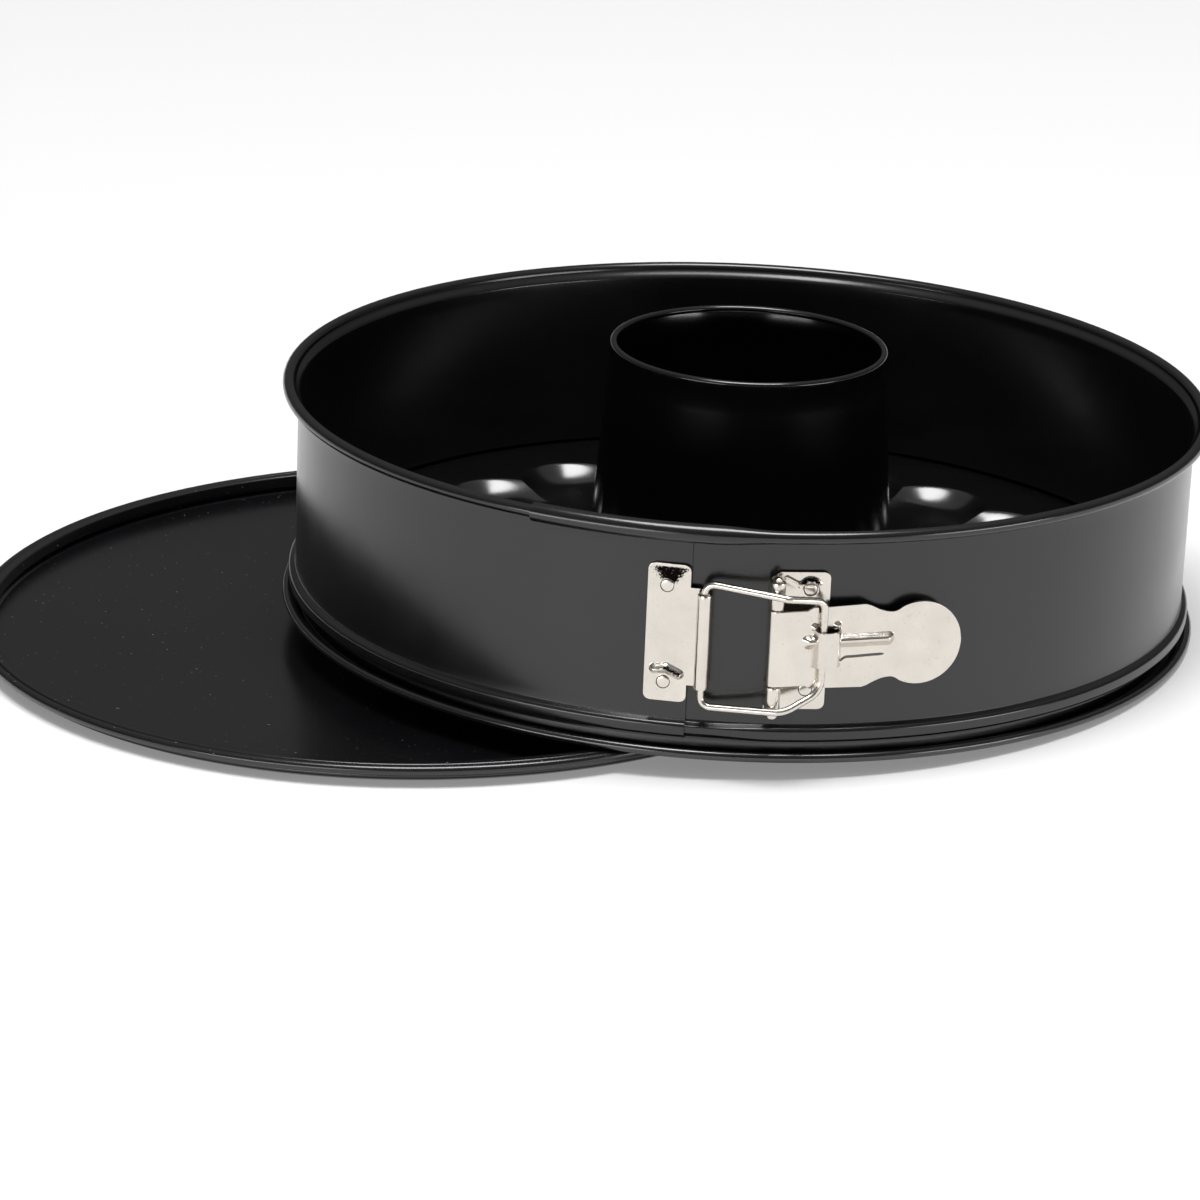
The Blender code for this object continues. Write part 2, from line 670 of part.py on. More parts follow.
def make_pin(group, clasp, material):
    """The hinge pin, with its head below the lower knuckle."""
    section = [
        (0, PIN_TOP),
        (PIN_RADIUS - PIN_CHAMFER, PIN_TOP),
        (PIN_RADIUS, PIN_TOP - PIN_CHAMFER),
        (PIN_RADIUS, PIN_HEAD_TOP),
        (PIN_HEAD, PIN_HEAD_TOP),
        (PIN_HEAD, PIN_BOTTOM + PIN_HEAD_ROUND),
        (PIN_HEAD - PIN_HEAD_ROUND, PIN_BOTTOM),
        (0, PIN_BOTTOM),
    ]
    middle = (PIN_SIDE, -PIN_OUT, 0)
    pin = place(profile(section, "hinge_pin"), "hinge_pin", group, clasp, middle)
    pin.data.materials.append(material)
    turn(pin, 12)


def lever_outline():
    """(along, half height) of the lever's flat part, from above the pin to its round tip."""
    notch_start = LEG_ALONG - NOTCH_WIDTH / 2
    notch_end = LEG_ALONG + NOTCH_WIDTH / 2
    shoulder = BODY_END_HALF - SHOULDER_DROP
    outline = [
        (0, ROOT_HALF),
        (BODY_START - STEP_LENGTH, ROOT_HALF),
        (BODY_START, BODY_HALF),
        (notch_start - STEP_LENGTH, BODY_HALF),
        (notch_start, NOTCH_HALF),
        (notch_end, NOTCH_HALF),
        (notch_end + STEP_LENGTH, BODY_HALF),
        (BODY_END - SHOULDER_LENGTH, BODY_END_HALF),
    ]
    for i in range(8):
        part = i / 7
        half = shoulder - (shoulder - WAIST_HALF) * math.sin(QUARTER * part)
        outline.append((BODY_END + (WAIST_AT - BODY_END) * part, half))
    rise = math.asin((WAIST_HALF + NECK_RISE) / THUMB_RADIUS)
    neck = THUMB_AT - THUMB_RADIUS * math.cos(rise)
    outline.append(((WAIST_AT + neck) / 2, WAIST_HALF + NECK_RISE / 4))
    outline += arc((THUMB_AT, 0), THUMB_RADIUS, math.pi - rise, THUMB_END, 12)
    return outline


def make_lever(group, clasp, material):
    """The lever: one strip that curls round the pin, bridges the bail and ends in a thumb pad."""
    curl = arc((0, 0), LEVER_CURL, LEVER_CURL_END, math.radians(-270), 8)[:-1]
    stations = [(x, out, ROOT_HALF) for x, out in curl]
    stations += [(along, LEVER_CURL, half) for along, half in lever_outline()]
    rows = [[(x, -out, half), (x, -out, -half)] for x, out, half in stations]
    at = (PIN_SIDE, -PIN_OUT, CLASP_HEIGHT)
    turned = (0, 0, LEVER_ANGLE)
    lever = place(loft(rows, "lever"), "lever", group, clasp, at, turned)
    lever.data.materials.append(material)
    thicken(lever, LEVER_SHEET)

    left = LEG_ALONG - BRIDGE_LEFT
    right = LEG_ALONG + BRIDGE_RIGHT
    roof = LEVER_CURL + BRIDGE_RISE
    bm = bmesh.new()
    bmesh.ops.create_cube(bm, size=1)
    opening = (right - left - LEVER_SHEET, 4 * LEVER_SHEET, 2 * BRIDGE_HALF)
    bmesh.ops.scale(bm, verts=bm.verts, vec=opening)
    bmesh.ops.translate(bm, verts=bm.verts, vec=((left + right) / 2, -LEVER_CURL, 0))
    window = cutter(finished(bm, "lever_window"), "lever_window", clasp, at, turned)
    combine(lever, window, "DIFFERENCE")
    bridge = [
        (left, LEVER_CURL),
        (left, roof - BRIDGE_SLOPE),
        (left + BRIDGE_SLOPE, roof),
        (right - BRIDGE_SLOPE, roof),
        (right, roof - BRIDGE_SLOPE),
        (right, LEVER_CURL),
    ]
    half = BRIDGE_HALF
    add_fold(lever, "lever_bridge", clasp, bridge, -half, half, LEVER_SHEET, at, turned)
    for name, start, end, start_half, end_half in (
        ("short_rib", SHORT_RIB_START, left, SHORT_RIB_HALF, SHORT_RIB_HALF),
        ("long_rib", right, LONG_RIB_END, LONG_RIB_HALF, LONG_RIB_END_HALF),
    ):
        mesh = rib(start, end, start_half, end_half, name)
        combine(lever, cutter(mesh, name, clasp, at, turned), "UNION")


def rib(start, end, start_half, end_half, name):
    """A long pressed rib on the lever's face, drafted on all sides."""
    bm = bmesh.new()
    bmesh.ops.create_cube(bm, size=2)
    for vert in bm.verts:
        along, front, up = vert.co
        draft = RIB_DRAFT if front < 0 else 0
        half = end_half if along > 0 else start_half
        vert.co.x = (end - draft) if along > 0 else (start + draft)
        vert.co.y = -(LEVER_FACE + RIB_RISE) if front < 0 else -LEVER_CURL
        vert.co.z = up * (half - draft)
    return finished(bm, name)


def bail_path():
    """The wire's middle line from its upper end to its lower end, about the leg's middle."""
    between = CATCH_ANGLE - CLASP_ANGLE
    side = BARREL_SIDE * math.cos(between) + BARREL_OUT * math.sin(between)
    out = BARREL_OUT * math.cos(between) - BARREL_SIDE * math.sin(between)
    end = BARREL_HALF + GAP
    corners = [
        (side, out, end, 0),
        (side, out, ARM_ABOVE, BEND_RADIUS),
        (KINK_SIDE, KINK_OUT, KINK_ABOVE, BEND_RADIUS),
        (LEG_SIDE, LEG_FROM_AXIS, LEG_ABOVE, LEG_BEND_RADIUS),
        (LEG_SIDE, LEG_FROM_AXIS, -LEG_BELOW, LEG_BEND_RADIUS),
        (KINK_SIDE, KINK_OUT, -KINK_BELOW, BEND_RADIUS),
        (side, out, -ARM_BELOW, BEND_RADIUS),
        (side, out, -end, 0),
    ]
    leg = Vector((LEG_SIDE, -LEG_FROM_AXIS, 0))
    return rounded([(Vector((x, -y, z)) - leg, radius) for x, y, z, radius in corners], False)


def make_bail(group, clasp, material):
    """The bail: one bent wire whose leg lies under the lever's bridge."""
    curve = bpy.data.curves.new("bail", "CURVE")
    curve.dimensions = "3D"
    curve.bevel_depth = WIRE_RADIUS
    curve.bevel_resolution = 2
    curve.use_fill_caps = True
    points = bail_path()
    spline = curve.splines.new("POLY")
    spline.points.add(len(points) - 1)
    for point, target in zip(spline.points, points):
        point.co = (*target, 1)
    curve.materials.append(material)
    place(curve, "bail", group, clasp, (LEG_SIDE, -LEG_FROM_AXIS, CLASP_HEIGHT))


def main():
    """Builds every piece and hangs it in its frame."""
    clear_scene()
    group = new_collection("springform_tube_pan")
    new_collection("cutters", hidden=True)
    pan = new_frame("pan_frame", group, None, (BASE_DISTANCE, 0, PAN_LIFT), (0, TILT, 0))
    clasp = new_frame("clasp_frame", group, pan, rotation=(0, 0, CLASP_ANGLE + QUARTER))
    catch = new_frame("catch_frame", group, pan, rotation=(0, 0, CATCH_ANGLE + QUARTER))

    nickel = (0.74, 0.71, 0.66)
    band_coating = new_material("band_coating", (0.035, 0.035, 0.037), 0.42, 0.25)
    make_band(group, pan, clasp, catch, band_coating)
    make_tube_base(group, pan, new_material("tube_base_coating", (0.012, 0.012, 0.013), 0.18, 0.1))
    make_tube(group, pan, new_material("tube_coating", (0.015, 0.015, 0.016), 0.3, 0.1))
    make_flat_base(group, new_material("flat_base_coating", (0.03, 0.029, 0.033), 0.35, 0.1))
    make_catch(group, catch, new_material("catch_nickel", nickel, 0.22, 1.0))
    make_bracket(group, clasp, new_material("bracket_nickel", nickel, 0.24, 1.0))
    make_pin(group, clasp, new_material("pin_steel", (0.66, 0.64, 0.6), 0.25, 1.0))
    make_lever(group, clasp, new_material("lever_nickel", nickel, 0.2, 1.0))
    make_bail(group, clasp, new_material("bail_wire", (0.72, 0.69, 0.64), 0.18, 1.0))

    steel = new_material("rivet_nickel", (0.7, 0.67, 0.62), 0.28, 1.0)
    side = CATCH_RIVET_SIDE
    make_rivet("catch_rivet_lower", group, catch, side, CATCH_RIVET_LOW, False, steel)
    make_rivet("catch_rivet_upper", group, catch, side, CATCH_RIVET_HIGH, False, steel)
    side = BRACKET_RIVET_SIDE
    make_rivet("bracket_rivet_lower", group, clasp, side, BRACKET_RIVET_LOW, True, steel)
    make_rivet("bracket_rivet_upper", group, clasp, side, BRACKET_RIVET_HIGH, True, steel)


if __name__ == "__main__":
    main()
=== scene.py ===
"""Looks of a springform tube pan that leans on its spare flat base.

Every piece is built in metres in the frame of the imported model. The pan's own pieces are
modelled about its axis and then tipped by the angle at which it leans on the flat base.
"""

import logging
import math
from collections.abc import Callable, Sequence
from dataclasses import dataclass, field
from enum import Enum

import bmesh
import bpy
from mathutils import Matrix, Vector

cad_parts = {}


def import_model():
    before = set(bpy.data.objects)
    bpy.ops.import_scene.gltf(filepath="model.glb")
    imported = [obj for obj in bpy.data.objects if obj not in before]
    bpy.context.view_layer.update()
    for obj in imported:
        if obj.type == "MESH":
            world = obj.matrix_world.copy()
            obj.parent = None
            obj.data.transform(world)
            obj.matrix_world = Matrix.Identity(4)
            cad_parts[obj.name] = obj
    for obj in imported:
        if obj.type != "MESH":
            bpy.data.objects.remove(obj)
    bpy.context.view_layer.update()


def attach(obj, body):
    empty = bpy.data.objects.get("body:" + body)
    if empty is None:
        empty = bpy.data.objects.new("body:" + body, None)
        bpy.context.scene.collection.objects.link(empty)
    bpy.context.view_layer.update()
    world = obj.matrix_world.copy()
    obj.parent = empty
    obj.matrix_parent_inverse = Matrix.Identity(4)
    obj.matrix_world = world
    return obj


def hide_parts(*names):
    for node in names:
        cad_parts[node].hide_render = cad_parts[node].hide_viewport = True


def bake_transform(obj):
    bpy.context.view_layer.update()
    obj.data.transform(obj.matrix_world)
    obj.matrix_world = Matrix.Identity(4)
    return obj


MM = 0.001
QUARTER = math.pi / 2
TOUCHING = 0.002 * MM
SHARP_ANGLE = 35.0
LOG = logging.getLogger("springform_pan")

Point2 = tuple[float, float]
Point3 = tuple[float, float, float]


class Body(Enum):
    """The rigid bodies that pieces ride on."""

    FLAT_BASE = "flat_base"
    TUBE_BASE = "tube_base"
    RING = "ring"
    CATCH = "catch"
    LEVER = "lever"
    BAIL = "bail"


class Slot(Enum):
    """The record's material slots."""

    BAND = "band_coating"
    TUBE_BASE = "tube_base_coating"
    TUBE = "tube_coating"
    FLAT_BASE = "flat_base_coating"
    CLASP = "clasp_nickel"
    WIRE = "bail_wire"
    RIVET = "rivet_nickel"


# Finishes


@dataclass(frozen=True)
class Nodes:
    """A short way to write a material's node tree."""

    tree: bpy.types.NodeTree

    def add(self, kind: str, **settings: object) -> bpy.types.Node:
        """Adds a node.

        Args:
            kind: Blender's name for the node's type.
            settings: properties to set on the node.

        Returns:
            The new node.
        """
        node = self.tree.nodes.new(kind)
        for name, value in settings.items():
            setattr(node, name, value)
        return node

    def link(self, source: bpy.types.NodeSocket, target: bpy.types.NodeSocket) -> None:
        """Joins two sockets."""
        self.tree.links.new(source, target)

    def noise(
        self, vector: bpy.types.NodeSocket, scale: float, detail: float
    ) -> bpy.types.NodeSocket:
        """Adds a noise texture.

        Args:
            vector: where the noise is read.
            scale: how fine it is.
            detail: how many finer layers it has.

        Returns:
            The noise's value.
        """
        node = self.add("ShaderNodeTexNoise")
        node.inputs["Scale"].default_value = scale
        node.inputs["Detail"].default_value = detail
        self.link(vector, node.inputs["Vector"])
        return node.outputs["Fac"]

    def spread(
        self, value: bpy.types.NodeSocket, low: float, high: float, span: Point2 = (0.3, 0.7)
    ) -> bpy.types.NodeSocket:
        """Maps a noise value onto a range.

        Args:
            value: the noise value.
            low: result at the start of span.
            high: result at the end of span.
            span: the part of the noise's range that is used.

        Returns:
            The mapped value.
        """
        node = self.add("ShaderNodeMapRange")
        node.inputs["From Min"].default_value = span[0]
        node.inputs["From Max"].default_value = span[1]
        node.inputs["To Min"].default_value = low
        node.inputs["To Max"].default_value = high
        self.link(value, node.inputs["Value"])
        return node.outputs["Result"]

    def bumped(
        self, height: bpy.types.NodeSocket, strength: float, distance: float
    ) -> bpy.types.NodeSocket:
        """Bends the shading normal by a height.

        Args:
            height: the height, from 0 to 1.
            strength: how much of the bend is used.
            distance: the height that 1 stands for.

        Returns:
            The bent normal.
        """
        node = self.add("ShaderNodeBump")
        node.inputs["Strength"].default_value = strength
        node.inputs["Distance"].default_value = distance
        self.link(height, node.inputs["Height"])
        return node.outputs["Normal"]

    def tinted(
        self, value: bpy.types.NodeSocket, dark: Point3, light: Point3
    ) -> bpy.types.NodeSocket:
        """Turns a value into a colour between two.

        Args:
            value: the value, from 0 to 1.
            dark: the colour at 0.
            light: the colour at 1.

        Returns:
            The colour.
        """
        ramp = self.add("ShaderNodeValToRGB")
        ramp.color_ramp.elements[0].color = (*dark, 1)
        ramp.color_ramp.elements[1].color = (*light, 1)
        self.link(value, ramp.inputs["Fac"])
        return ramp.outputs["Color"]

    def covered(
        self, colour: bpy.types.NodeSocket, amount: bpy.types.NodeSocket, cover: Point3
    ) -> bpy.types.NodeSocket:
        """Covers a colour with another.

        Args:
            colour: the colour below.
            amount: how much of it is covered, from 0 to 1.
            cover: the colour on top.

        Returns:
            The mixed colour.
        """
        mix = self.add("ShaderNodeMix", data_type="RGBA")
        self.link(amount, mix.inputs[0])
        self.link(colour, mix.inputs[6])
        mix.inputs[7].default_value = (*cover, 1)
        return mix.outputs[2]

    def combined(
        self, operation: str, first: bpy.types.NodeSocket, second: bpy.types.NodeSocket | float
    ) -> bpy.types.NodeSocket:
        """Works out one value from two.

        Args:
            operation: Blender's name for the sum.
            first: the first value.
            second: the second value, or a plain number.

        Returns:
            The result.
        """
        node = self.add("ShaderNodeMath", operation=operation)
        self.link(first, node.inputs[0])
        if isinstance(second, float):
            node.inputs[1].default_value = second
        else:
            self.link(second, node.inputs[1])
        return node.outputs[0]


def blank_material(name: str) -> tuple[bpy.types.Material, Nodes, bpy.types.Node]:
    """Makes a material with only its shader in it.

    Args:
        name: the material's name.

    Returns:
        The material, its nodes and its Principled shader.
    """
    material = bpy.data.materials.new(name)
    material.use_nodes = True
    nodes = Nodes(material.node_tree)
    return material, nodes, material.node_tree.nodes["Principled BSDF"]


@dataclass(frozen=True)
class NonStickCoating:
    """Baked-on dark coating, nearly black, that shows what it mirrors."""

    name: str
    colour: Point3 = (0.0042, 0.0042, 0.0046)
    roughness: float = 0.22
    mirror: float = 1.6
    grain: float = 0.05
    mottle: float = 0.25
    dust: float = 0.0
    mottle_scale: float = 14
    patch_scale: float = 45
    patch_span: Point2 = (0.9, 1.12)
    dust_scale: float = 900
    dust_span: Point2 = (0.76, 0.8)
    dust_colour: Point3 = (0.3, 0.29, 0.28)
    grain_scale: float = 1500
    grain_height: float = 0.1 * MM

    def material(self) -> bpy.types.Material:
        """Builds the coating's material.

        Returns:
            The material.
        """
        material, nodes, shader = blank_material(self.name)
        place = nodes.add("ShaderNodeTexCoord").outputs["Object"]
        share = nodes.spread(nodes.noise(place, self.mottle_scale, 3), 0, 1)
        dark = tuple(c * (1 - self.mottle) for c in self.colour)
        light = tuple(c * (1 + self.mottle) for c in self.colour)
        colour = nodes.tinted(share, dark, light)
        if self.dust:
            speck = nodes.noise(place, self.dust_scale, 1)
            amount = nodes.spread(speck, 0, self.dust, self.dust_span)
            colour = nodes.covered(colour, amount, self.dust_colour)
        nodes.link(colour, shader.inputs["Base Color"])
        shader.inputs["IOR"].default_value = self.mirror
        patch = nodes.noise(place, self.patch_scale, 4)
        smooth, rough = (self.roughness * share for share in self.patch_span)
        nodes.link(nodes.spread(patch, smooth, rough), shader.inputs["Roughness"])
        peel = nodes.noise(place, self.grain_scale, 2)
        nodes.link(nodes.bumped(peel, self.grain, self.grain_height), shader.inputs["Normal"])
        return material


@dataclass(frozen=True)
class NickelPlate:
    """Bright warm nickel plate with faint rolling marks and soft waves, darkened by painted shade,
    painted dark reflections and dark rivet rings where a mesh asks for them.
    """

    name: str
    tint: Point3 = (0.73, 0.68, 0.62)
    roughness: float = 0.16
    waviness: float = 0.1
    streaks: Point3 = (90, 90, 900)
    streak_scale: float = 3
    streak_span: Point2 = (0.8, 1.35)
    cloud_scale: float = 120
    cloud_dullness: float = 0.9
    wave_scale: float = 260
    wave_height: float = 0.3 * MM
    speckle_scale: float = 2200
    speckle_span: Point2 = (0.05, 0.95)
    painted_shade_and_ring_edge: float = 0.15
    painted_shade_and_ring_colour: Point3 = (0.004, 0.003, 0.0025)

    def material(self) -> bpy.types.Material:
        """Builds the plating's material, which darkens where a mesh carries painted shade, painted
        dark reflections and dark rivet rings.

        Returns:
            The material.
        """
        material, nodes, shader = blank_material(self.name)
        shader.inputs["Metallic"].default_value = 1.0
        place = nodes.add("ShaderNodeTexCoord").outputs["Object"]
        stretch = nodes.add("ShaderNodeMapping")
        stretch.inputs["Scale"].default_value = self.streaks
        nodes.link(place, stretch.inputs["Vector"])
        line = nodes.noise(stretch.outputs["Vector"], self.streak_scale, 4)
        smooth, rough = (self.roughness * share for share in self.streak_span)
        nodes.link(nodes.spread(line, smooth, rough), shader.inputs["Roughness"])
        cloud = nodes.spread(nodes.noise(place, self.cloud_scale, 3), 0, 1)
        colour = nodes.tinted(cloud, tuple(c * self.cloud_dullness for c in self.tint), self.tint)
        # Painted shade and painted dark reflections from the meshes, with the dark rings round the
        # rivets, darken the colour here.
        painted_shade_and_ring = nodes.add("ShaderNodeAttribute", attribute_name="painted_shade_and_ring").outputs["Fac"]
        speckle = nodes.spread(nodes.noise(place, self.speckle_scale, 3), *self.speckle_span)
        ragged = nodes.combined("SUBTRACT", painted_shade_and_ring, speckle)
        amount = nodes.spread(ragged, 0, 1, (-self.painted_shade_and_ring_edge, self.painted_shade_and_ring_edge))
        colour = nodes.covered(colour, amount, self.painted_shade_and_ring_colour)
        nodes.link(colour, shader.inputs["Base Color"])
        wave = nodes.noise(place, self.wave_scale, 2)
        nodes.link(nodes.bumped(wave, self.waviness, self.wave_height), shader.inputs["Normal"])
        return material


@dataclass(frozen=True)
class PaperFloor:
    """Matt white paper sweep, part of whose white is seen even in the shade."""

    name: str = "white_paper"
    colour: Point3 = (0.95, 0.95, 0.95)
    glow: float = 0.2
    fibre_scale: float = 300
    fibre_shade: float = 0.985
    roughness: float = 0.9
    shine: float = 0.1

    def material(self) -> bpy.types.Material:
        """Builds the paper's material.

        Returns:
            The material.
        """
        material, nodes, shader = blank_material(self.name)
        place = nodes.add("ShaderNodeTexCoord").outputs["Object"]
        fibre = nodes.noise(place, self.fibre_scale, 3)
        faint = tuple(c * self.fibre_shade for c in self.colour)
        nodes.link(nodes.tinted(fibre, faint, self.colour), shader.inputs["Base Color"])
        shader.inputs["Roughness"].default_value = self.roughness
        shader.inputs["Specular IOR Level"].default_value = self.shine
        path = nodes.add("ShaderNodeLightPath")
        seen = path.outputs["Is Camera Ray"]
        for ray in ("Is Glossy Ray", "Is Transmission Ray"):
            seen = nodes.combined("MAXIMUM", seen, path.outputs[ray])
        mix = nodes.add("ShaderNodeMixShader")
        nodes.link(nodes.combined("MULTIPLY", seen, self.glow), mix.inputs[0])
        nodes.link(shader.outputs["BSDF"], mix.inputs[1])
        nodes.link(nodes.add("ShaderNodeEmission").outputs["Emission"], mix.inputs[2])
        output = material.node_tree.nodes["Material Output"]
        nodes.link(mix.outputs["Shader"], output.inputs["Surface"])
        return material


# Shapes


def arc(centre: Point2, radius: float, start: float, end: float, steps: int) -> list[Point2]:
    """Points on a circular arc.

    Args:
        centre: the arc's centre.
        radius: the arc's radius.
        start: angle of the first point.
        end: angle of the last point.
        steps: number of steps between them.

    Returns:
        The points, both ends included.
    """
    angles = [start + (end - start) * i / steps for i in range(steps + 1)]
    return [
        (centre[0] + radius * math.cos(a), centre[1] + radius * math.sin(a)) for a in angles
    ]


def filleted(corners: Sequence[tuple[Vector, float]], steps: int = 6) -> list[Vector]:
    """Rounds the inner corners of an open line.

    Args:
        corners: the corners, each with its radius, or 0 to leave it sharp.
        steps: number of steps in each rounded corner.

    Returns:
        The rounded line's points.
    """
    points = [corners[0][0]]
    for i in range(1, len(corners) - 1):
        corner, radius = corners[i]
        if not radius:
            points.append(corner)
            continue
        back = (corners[i - 1][0] - corner).normalized()
        on = (corners[i + 1][0] - corner).normalized()
        half = back.angle(on) / 2
        middle = corner + (back + on).normalized() * radius / math.sin(half)
        start = corner + back * radius / math.tan(half) - middle
        end = corner + on * radius / math.tan(half) - middle
        for k in range(steps + 1):
            points.append(middle + start.slerp(end, k / steps).normalized() * radius)
    points.append(corners[-1][0])
    return points


def filleted_section(corners: Sequence[tuple[float, float, float]], steps: int = 6) -> list[Point2]:
    """Rounds a section given as (x, y, radius) corners."""
    made = filleted([(Vector((x, y, 0)), radius) for x, y, radius in corners], steps)
    return [(p.x, p.y) for p in made]


def moved_left(points: Sequence[Point2], distance: float) -> list[Point2]:
    """Offsets a line sideways with mitred corners.

    Args:
        points: the line's points.
        distance: how far to its left it moves.

    Returns:
        The moved line's points.
    """
    normals = []
    for (x0, y0), (x1, y1) in zip(points, points[1:]):
        length = math.hypot(x1 - x0, y1 - y0)
        normals.append(((y0 - y1) / length, (x1 - x0) / length))
    moved = []
    for i, (x, y) in enumerate(points):
        ax, ay = normals[max(i - 1, 0)]
        bx, by = normals[min(i, len(normals) - 1)]
        scale = distance / (1 + ax * bx + ay * by)
        moved.append((x + (ax + bx) * scale, y + (ay + by) * scale))
    return moved


def sheet_outline(points: Sequence[Point2], sheet: float) -> list[Point2]:
    """The closed outline of a sheet whose middle follows a line."""
    return moved_left(points, sheet / 2) + moved_left(points, -sheet / 2)[::-1]


def smoothed(bm: bmesh.types.BMesh, name: str) -> bpy.types.Mesh:
    """Turns a bmesh into a smooth mesh with its sharp edges kept.

    Args:
        bm: the bmesh, which is freed.
        name: the mesh's name.

    Returns:
        The mesh.
    """
    bmesh.ops.recalc_face_normals(bm, faces=bm.faces)
    mesh = bpy.data.meshes.new(name)
    bm.to_mesh(mesh)
    bm.free()
    mesh.shade_smooth()
    mesh.set_sharp_from_angle(angle=math.radians(SHARP_ANGLE))
    return mesh


def tube_of_sections(
    sections: Sequence[Sequence[Point3]], name: str, joined: bool, caps: tuple[bool, bool]
) -> bpy.types.Mesh:
    """Skins closed sections into a sheet.

    Args:
        sections: the sections in order, with equal numbers of points.
        name: the mesh's name.
        joined: whether the last section runs on into the first.
        caps: whether the first and the last section are filled.

    Returns:
        The mesh.
    """
    bm = bmesh.new()
    rows = [[bm.verts.new(p) for p in section] for section in sections]
    pairs = list(zip(rows, rows[1:]))
    if joined:
        pairs.append((rows[-1], rows[0]))
    for a, b in pairs:
        for i in range(len(a)):
            j = (i + 1) % len(a)
            bm.faces.new((a[i], a[j], b[j], b[i]))
    for row, wanted in zip((rows[0], rows[-1]), caps):
        half = len(row) // 2
        if wanted:
            for i in range(half - 1):
                bm.faces.new((row[i], row[i + 1], row[-i - 2], row[-i - 1]))
    return smoothed(bm, name)


def stood(points: Sequence[Point2], angle: float) -> list[Point3]:
    """A section of (radius, height) points stood at an angle round Z."""
    return [(r * math.cos(angle), r * math.sin(angle), h) for r, h in points]


def turned(points: Sequence[Point2], steps: int, name: str) -> bpy.types.Mesh:
    """Turns a (radius, height) line round Z, merging what lies on the axis.

    Args:
        points: the line's points.
        steps: number of steps round the axis.
        name: the mesh's name.

    Returns:
        The mesh.
    """
    bm = bmesh.new()
    verts = [bm.verts.new((r, 0, h)) for r, h in points]
    edges = [bm.edges.new(pair) for pair in zip(verts, verts[1:])]
    bmesh.ops.spin(
        bm,
        geom=[*verts, *edges],
        cent=(0, 0, 0),
        axis=(0, 0, 1),
        angle=math.tau,
        steps=steps,
        use_merge=True,
    )
    bmesh.ops.remove_doubles(bm, verts=bm.verts, dist=TOUCHING)
    return smoothed(bm, name)


def evaluated(obj: bpy.types.Object) -> bpy.types.Mesh:
    """Works out an object's modifiers or bevels.

    Args:
        obj: the object, which is left as it is.

    Returns:
        A new mesh of what the object shows.
    """
    graph = bpy.context.evaluated_depsgraph_get()
    graph.update()
    return bpy.data.meshes.new_from_object(obj.evaluated_get(graph))


def baked(obj: bpy.types.Object) -> bpy.types.Object:
    """Applies an object's modifiers and restores its smooth shading.

    Args:
        obj: the object.

    Returns:
        The same object with its finished mesh.
    """
    mesh = evaluated(obj)
    obj.modifiers.clear()
    obj.data = mesh
    mesh.shade_smooth()
    mesh.set_sharp_from_angle(angle=math.radians(SHARP_ANGLE))
    return obj


def baked_curve(wire: bpy.types.Object) -> bpy.types.Object:
    """Turns a curve object into a mesh object in its place.

    Args:
        wire: the curve object, which is removed.

    Returns:
        The mesh object.
    """
    mesh = evaluated(wire)
    matrix = wire.matrix_world.copy()
    name = wire.name
    bpy.data.objects.remove(wire)
    return shown(mesh, name, matrix)


def merged(parts: Sequence[bpy.types.Object], name: str) -> bpy.types.Object:
    """Joins finished objects into one mesh in world coordinates.

    Args:
        parts: the objects, which are removed.
        name: the joined object's name.

    Returns:
        The joined object.
    """
    bpy.context.view_layer.update()
    bm = bmesh.new()
    for part in parts:
        copy = part.data.copy()
        copy.transform(part.matrix_world)
        bm.from_mesh(copy)
        bpy.data.meshes.remove(copy)
        bpy.data.objects.remove(part)
    return shown(smoothed(bm, name), name)


def shown(
    data: bpy.types.Mesh | bpy.types.Curve, name: str, matrix: Matrix | None = None
) -> bpy.types.Object:
    """Puts a mesh or curve in the scene.

    Args:
        data: the mesh or curve.
        name: the object's name.
        matrix: where it stands, or None to leave it at the origin.

    Returns:
        The object.
    """
    obj = bpy.data.objects.new(name, data)
    if matrix is not None:
        obj.matrix_world = matrix
    bpy.context.scene.collection.objects.link(obj)
    return obj


def pressed_sheet(
    rows: Sequence[Sequence[Point3]],
    sheet: float,
    name: str,
    matrix: Matrix,
    holes: Callable[[int, int], bool] | None = None,
    edge: float = 0.12 * MM,
) -> bpy.types.Object:
    """Thickens a grid of points on a sheet's middle and rounds its edges.

    Args:
        rows: the grid's points.
        sheet: the sheet's thickness.
        name: the object's name.
        matrix: where the grid's frame stands.
        holes: says which cells are left open.
        edge: width of the rounding along the edges.

    Returns:
        The finished object.
    """
    bm = bmesh.new()
    made = [[bm.verts.new(p) for p in row] for row in rows]
    for i, (a, b) in enumerate(zip(made, made[1:])):
        for j in range(len(a) - 1):
            if holes is None or not holes(i, j):
                bm.faces.new((a[j], a[j + 1], b[j + 1], b[j]))
    bmesh.ops.delete(bm, geom=[v for v in bm.verts if not v.link_faces], context="VERTS")
    obj = shown(smoothed(bm, name), name, matrix)
    solid = obj.modifiers.new("sheet", "SOLIDIFY")
    solid.thickness = sheet
    solid.offset = 0
    solid.use_even_offset = True
    solid.use_quality_normals = True
    rounding = obj.modifiers.new("edge", "BEVEL")
    rounding.width = edge
    rounding.segments = 2
    rounding.limit_method = "ANGLE"
    rounding.angle_limit = math.radians(50)
    return baked(obj)


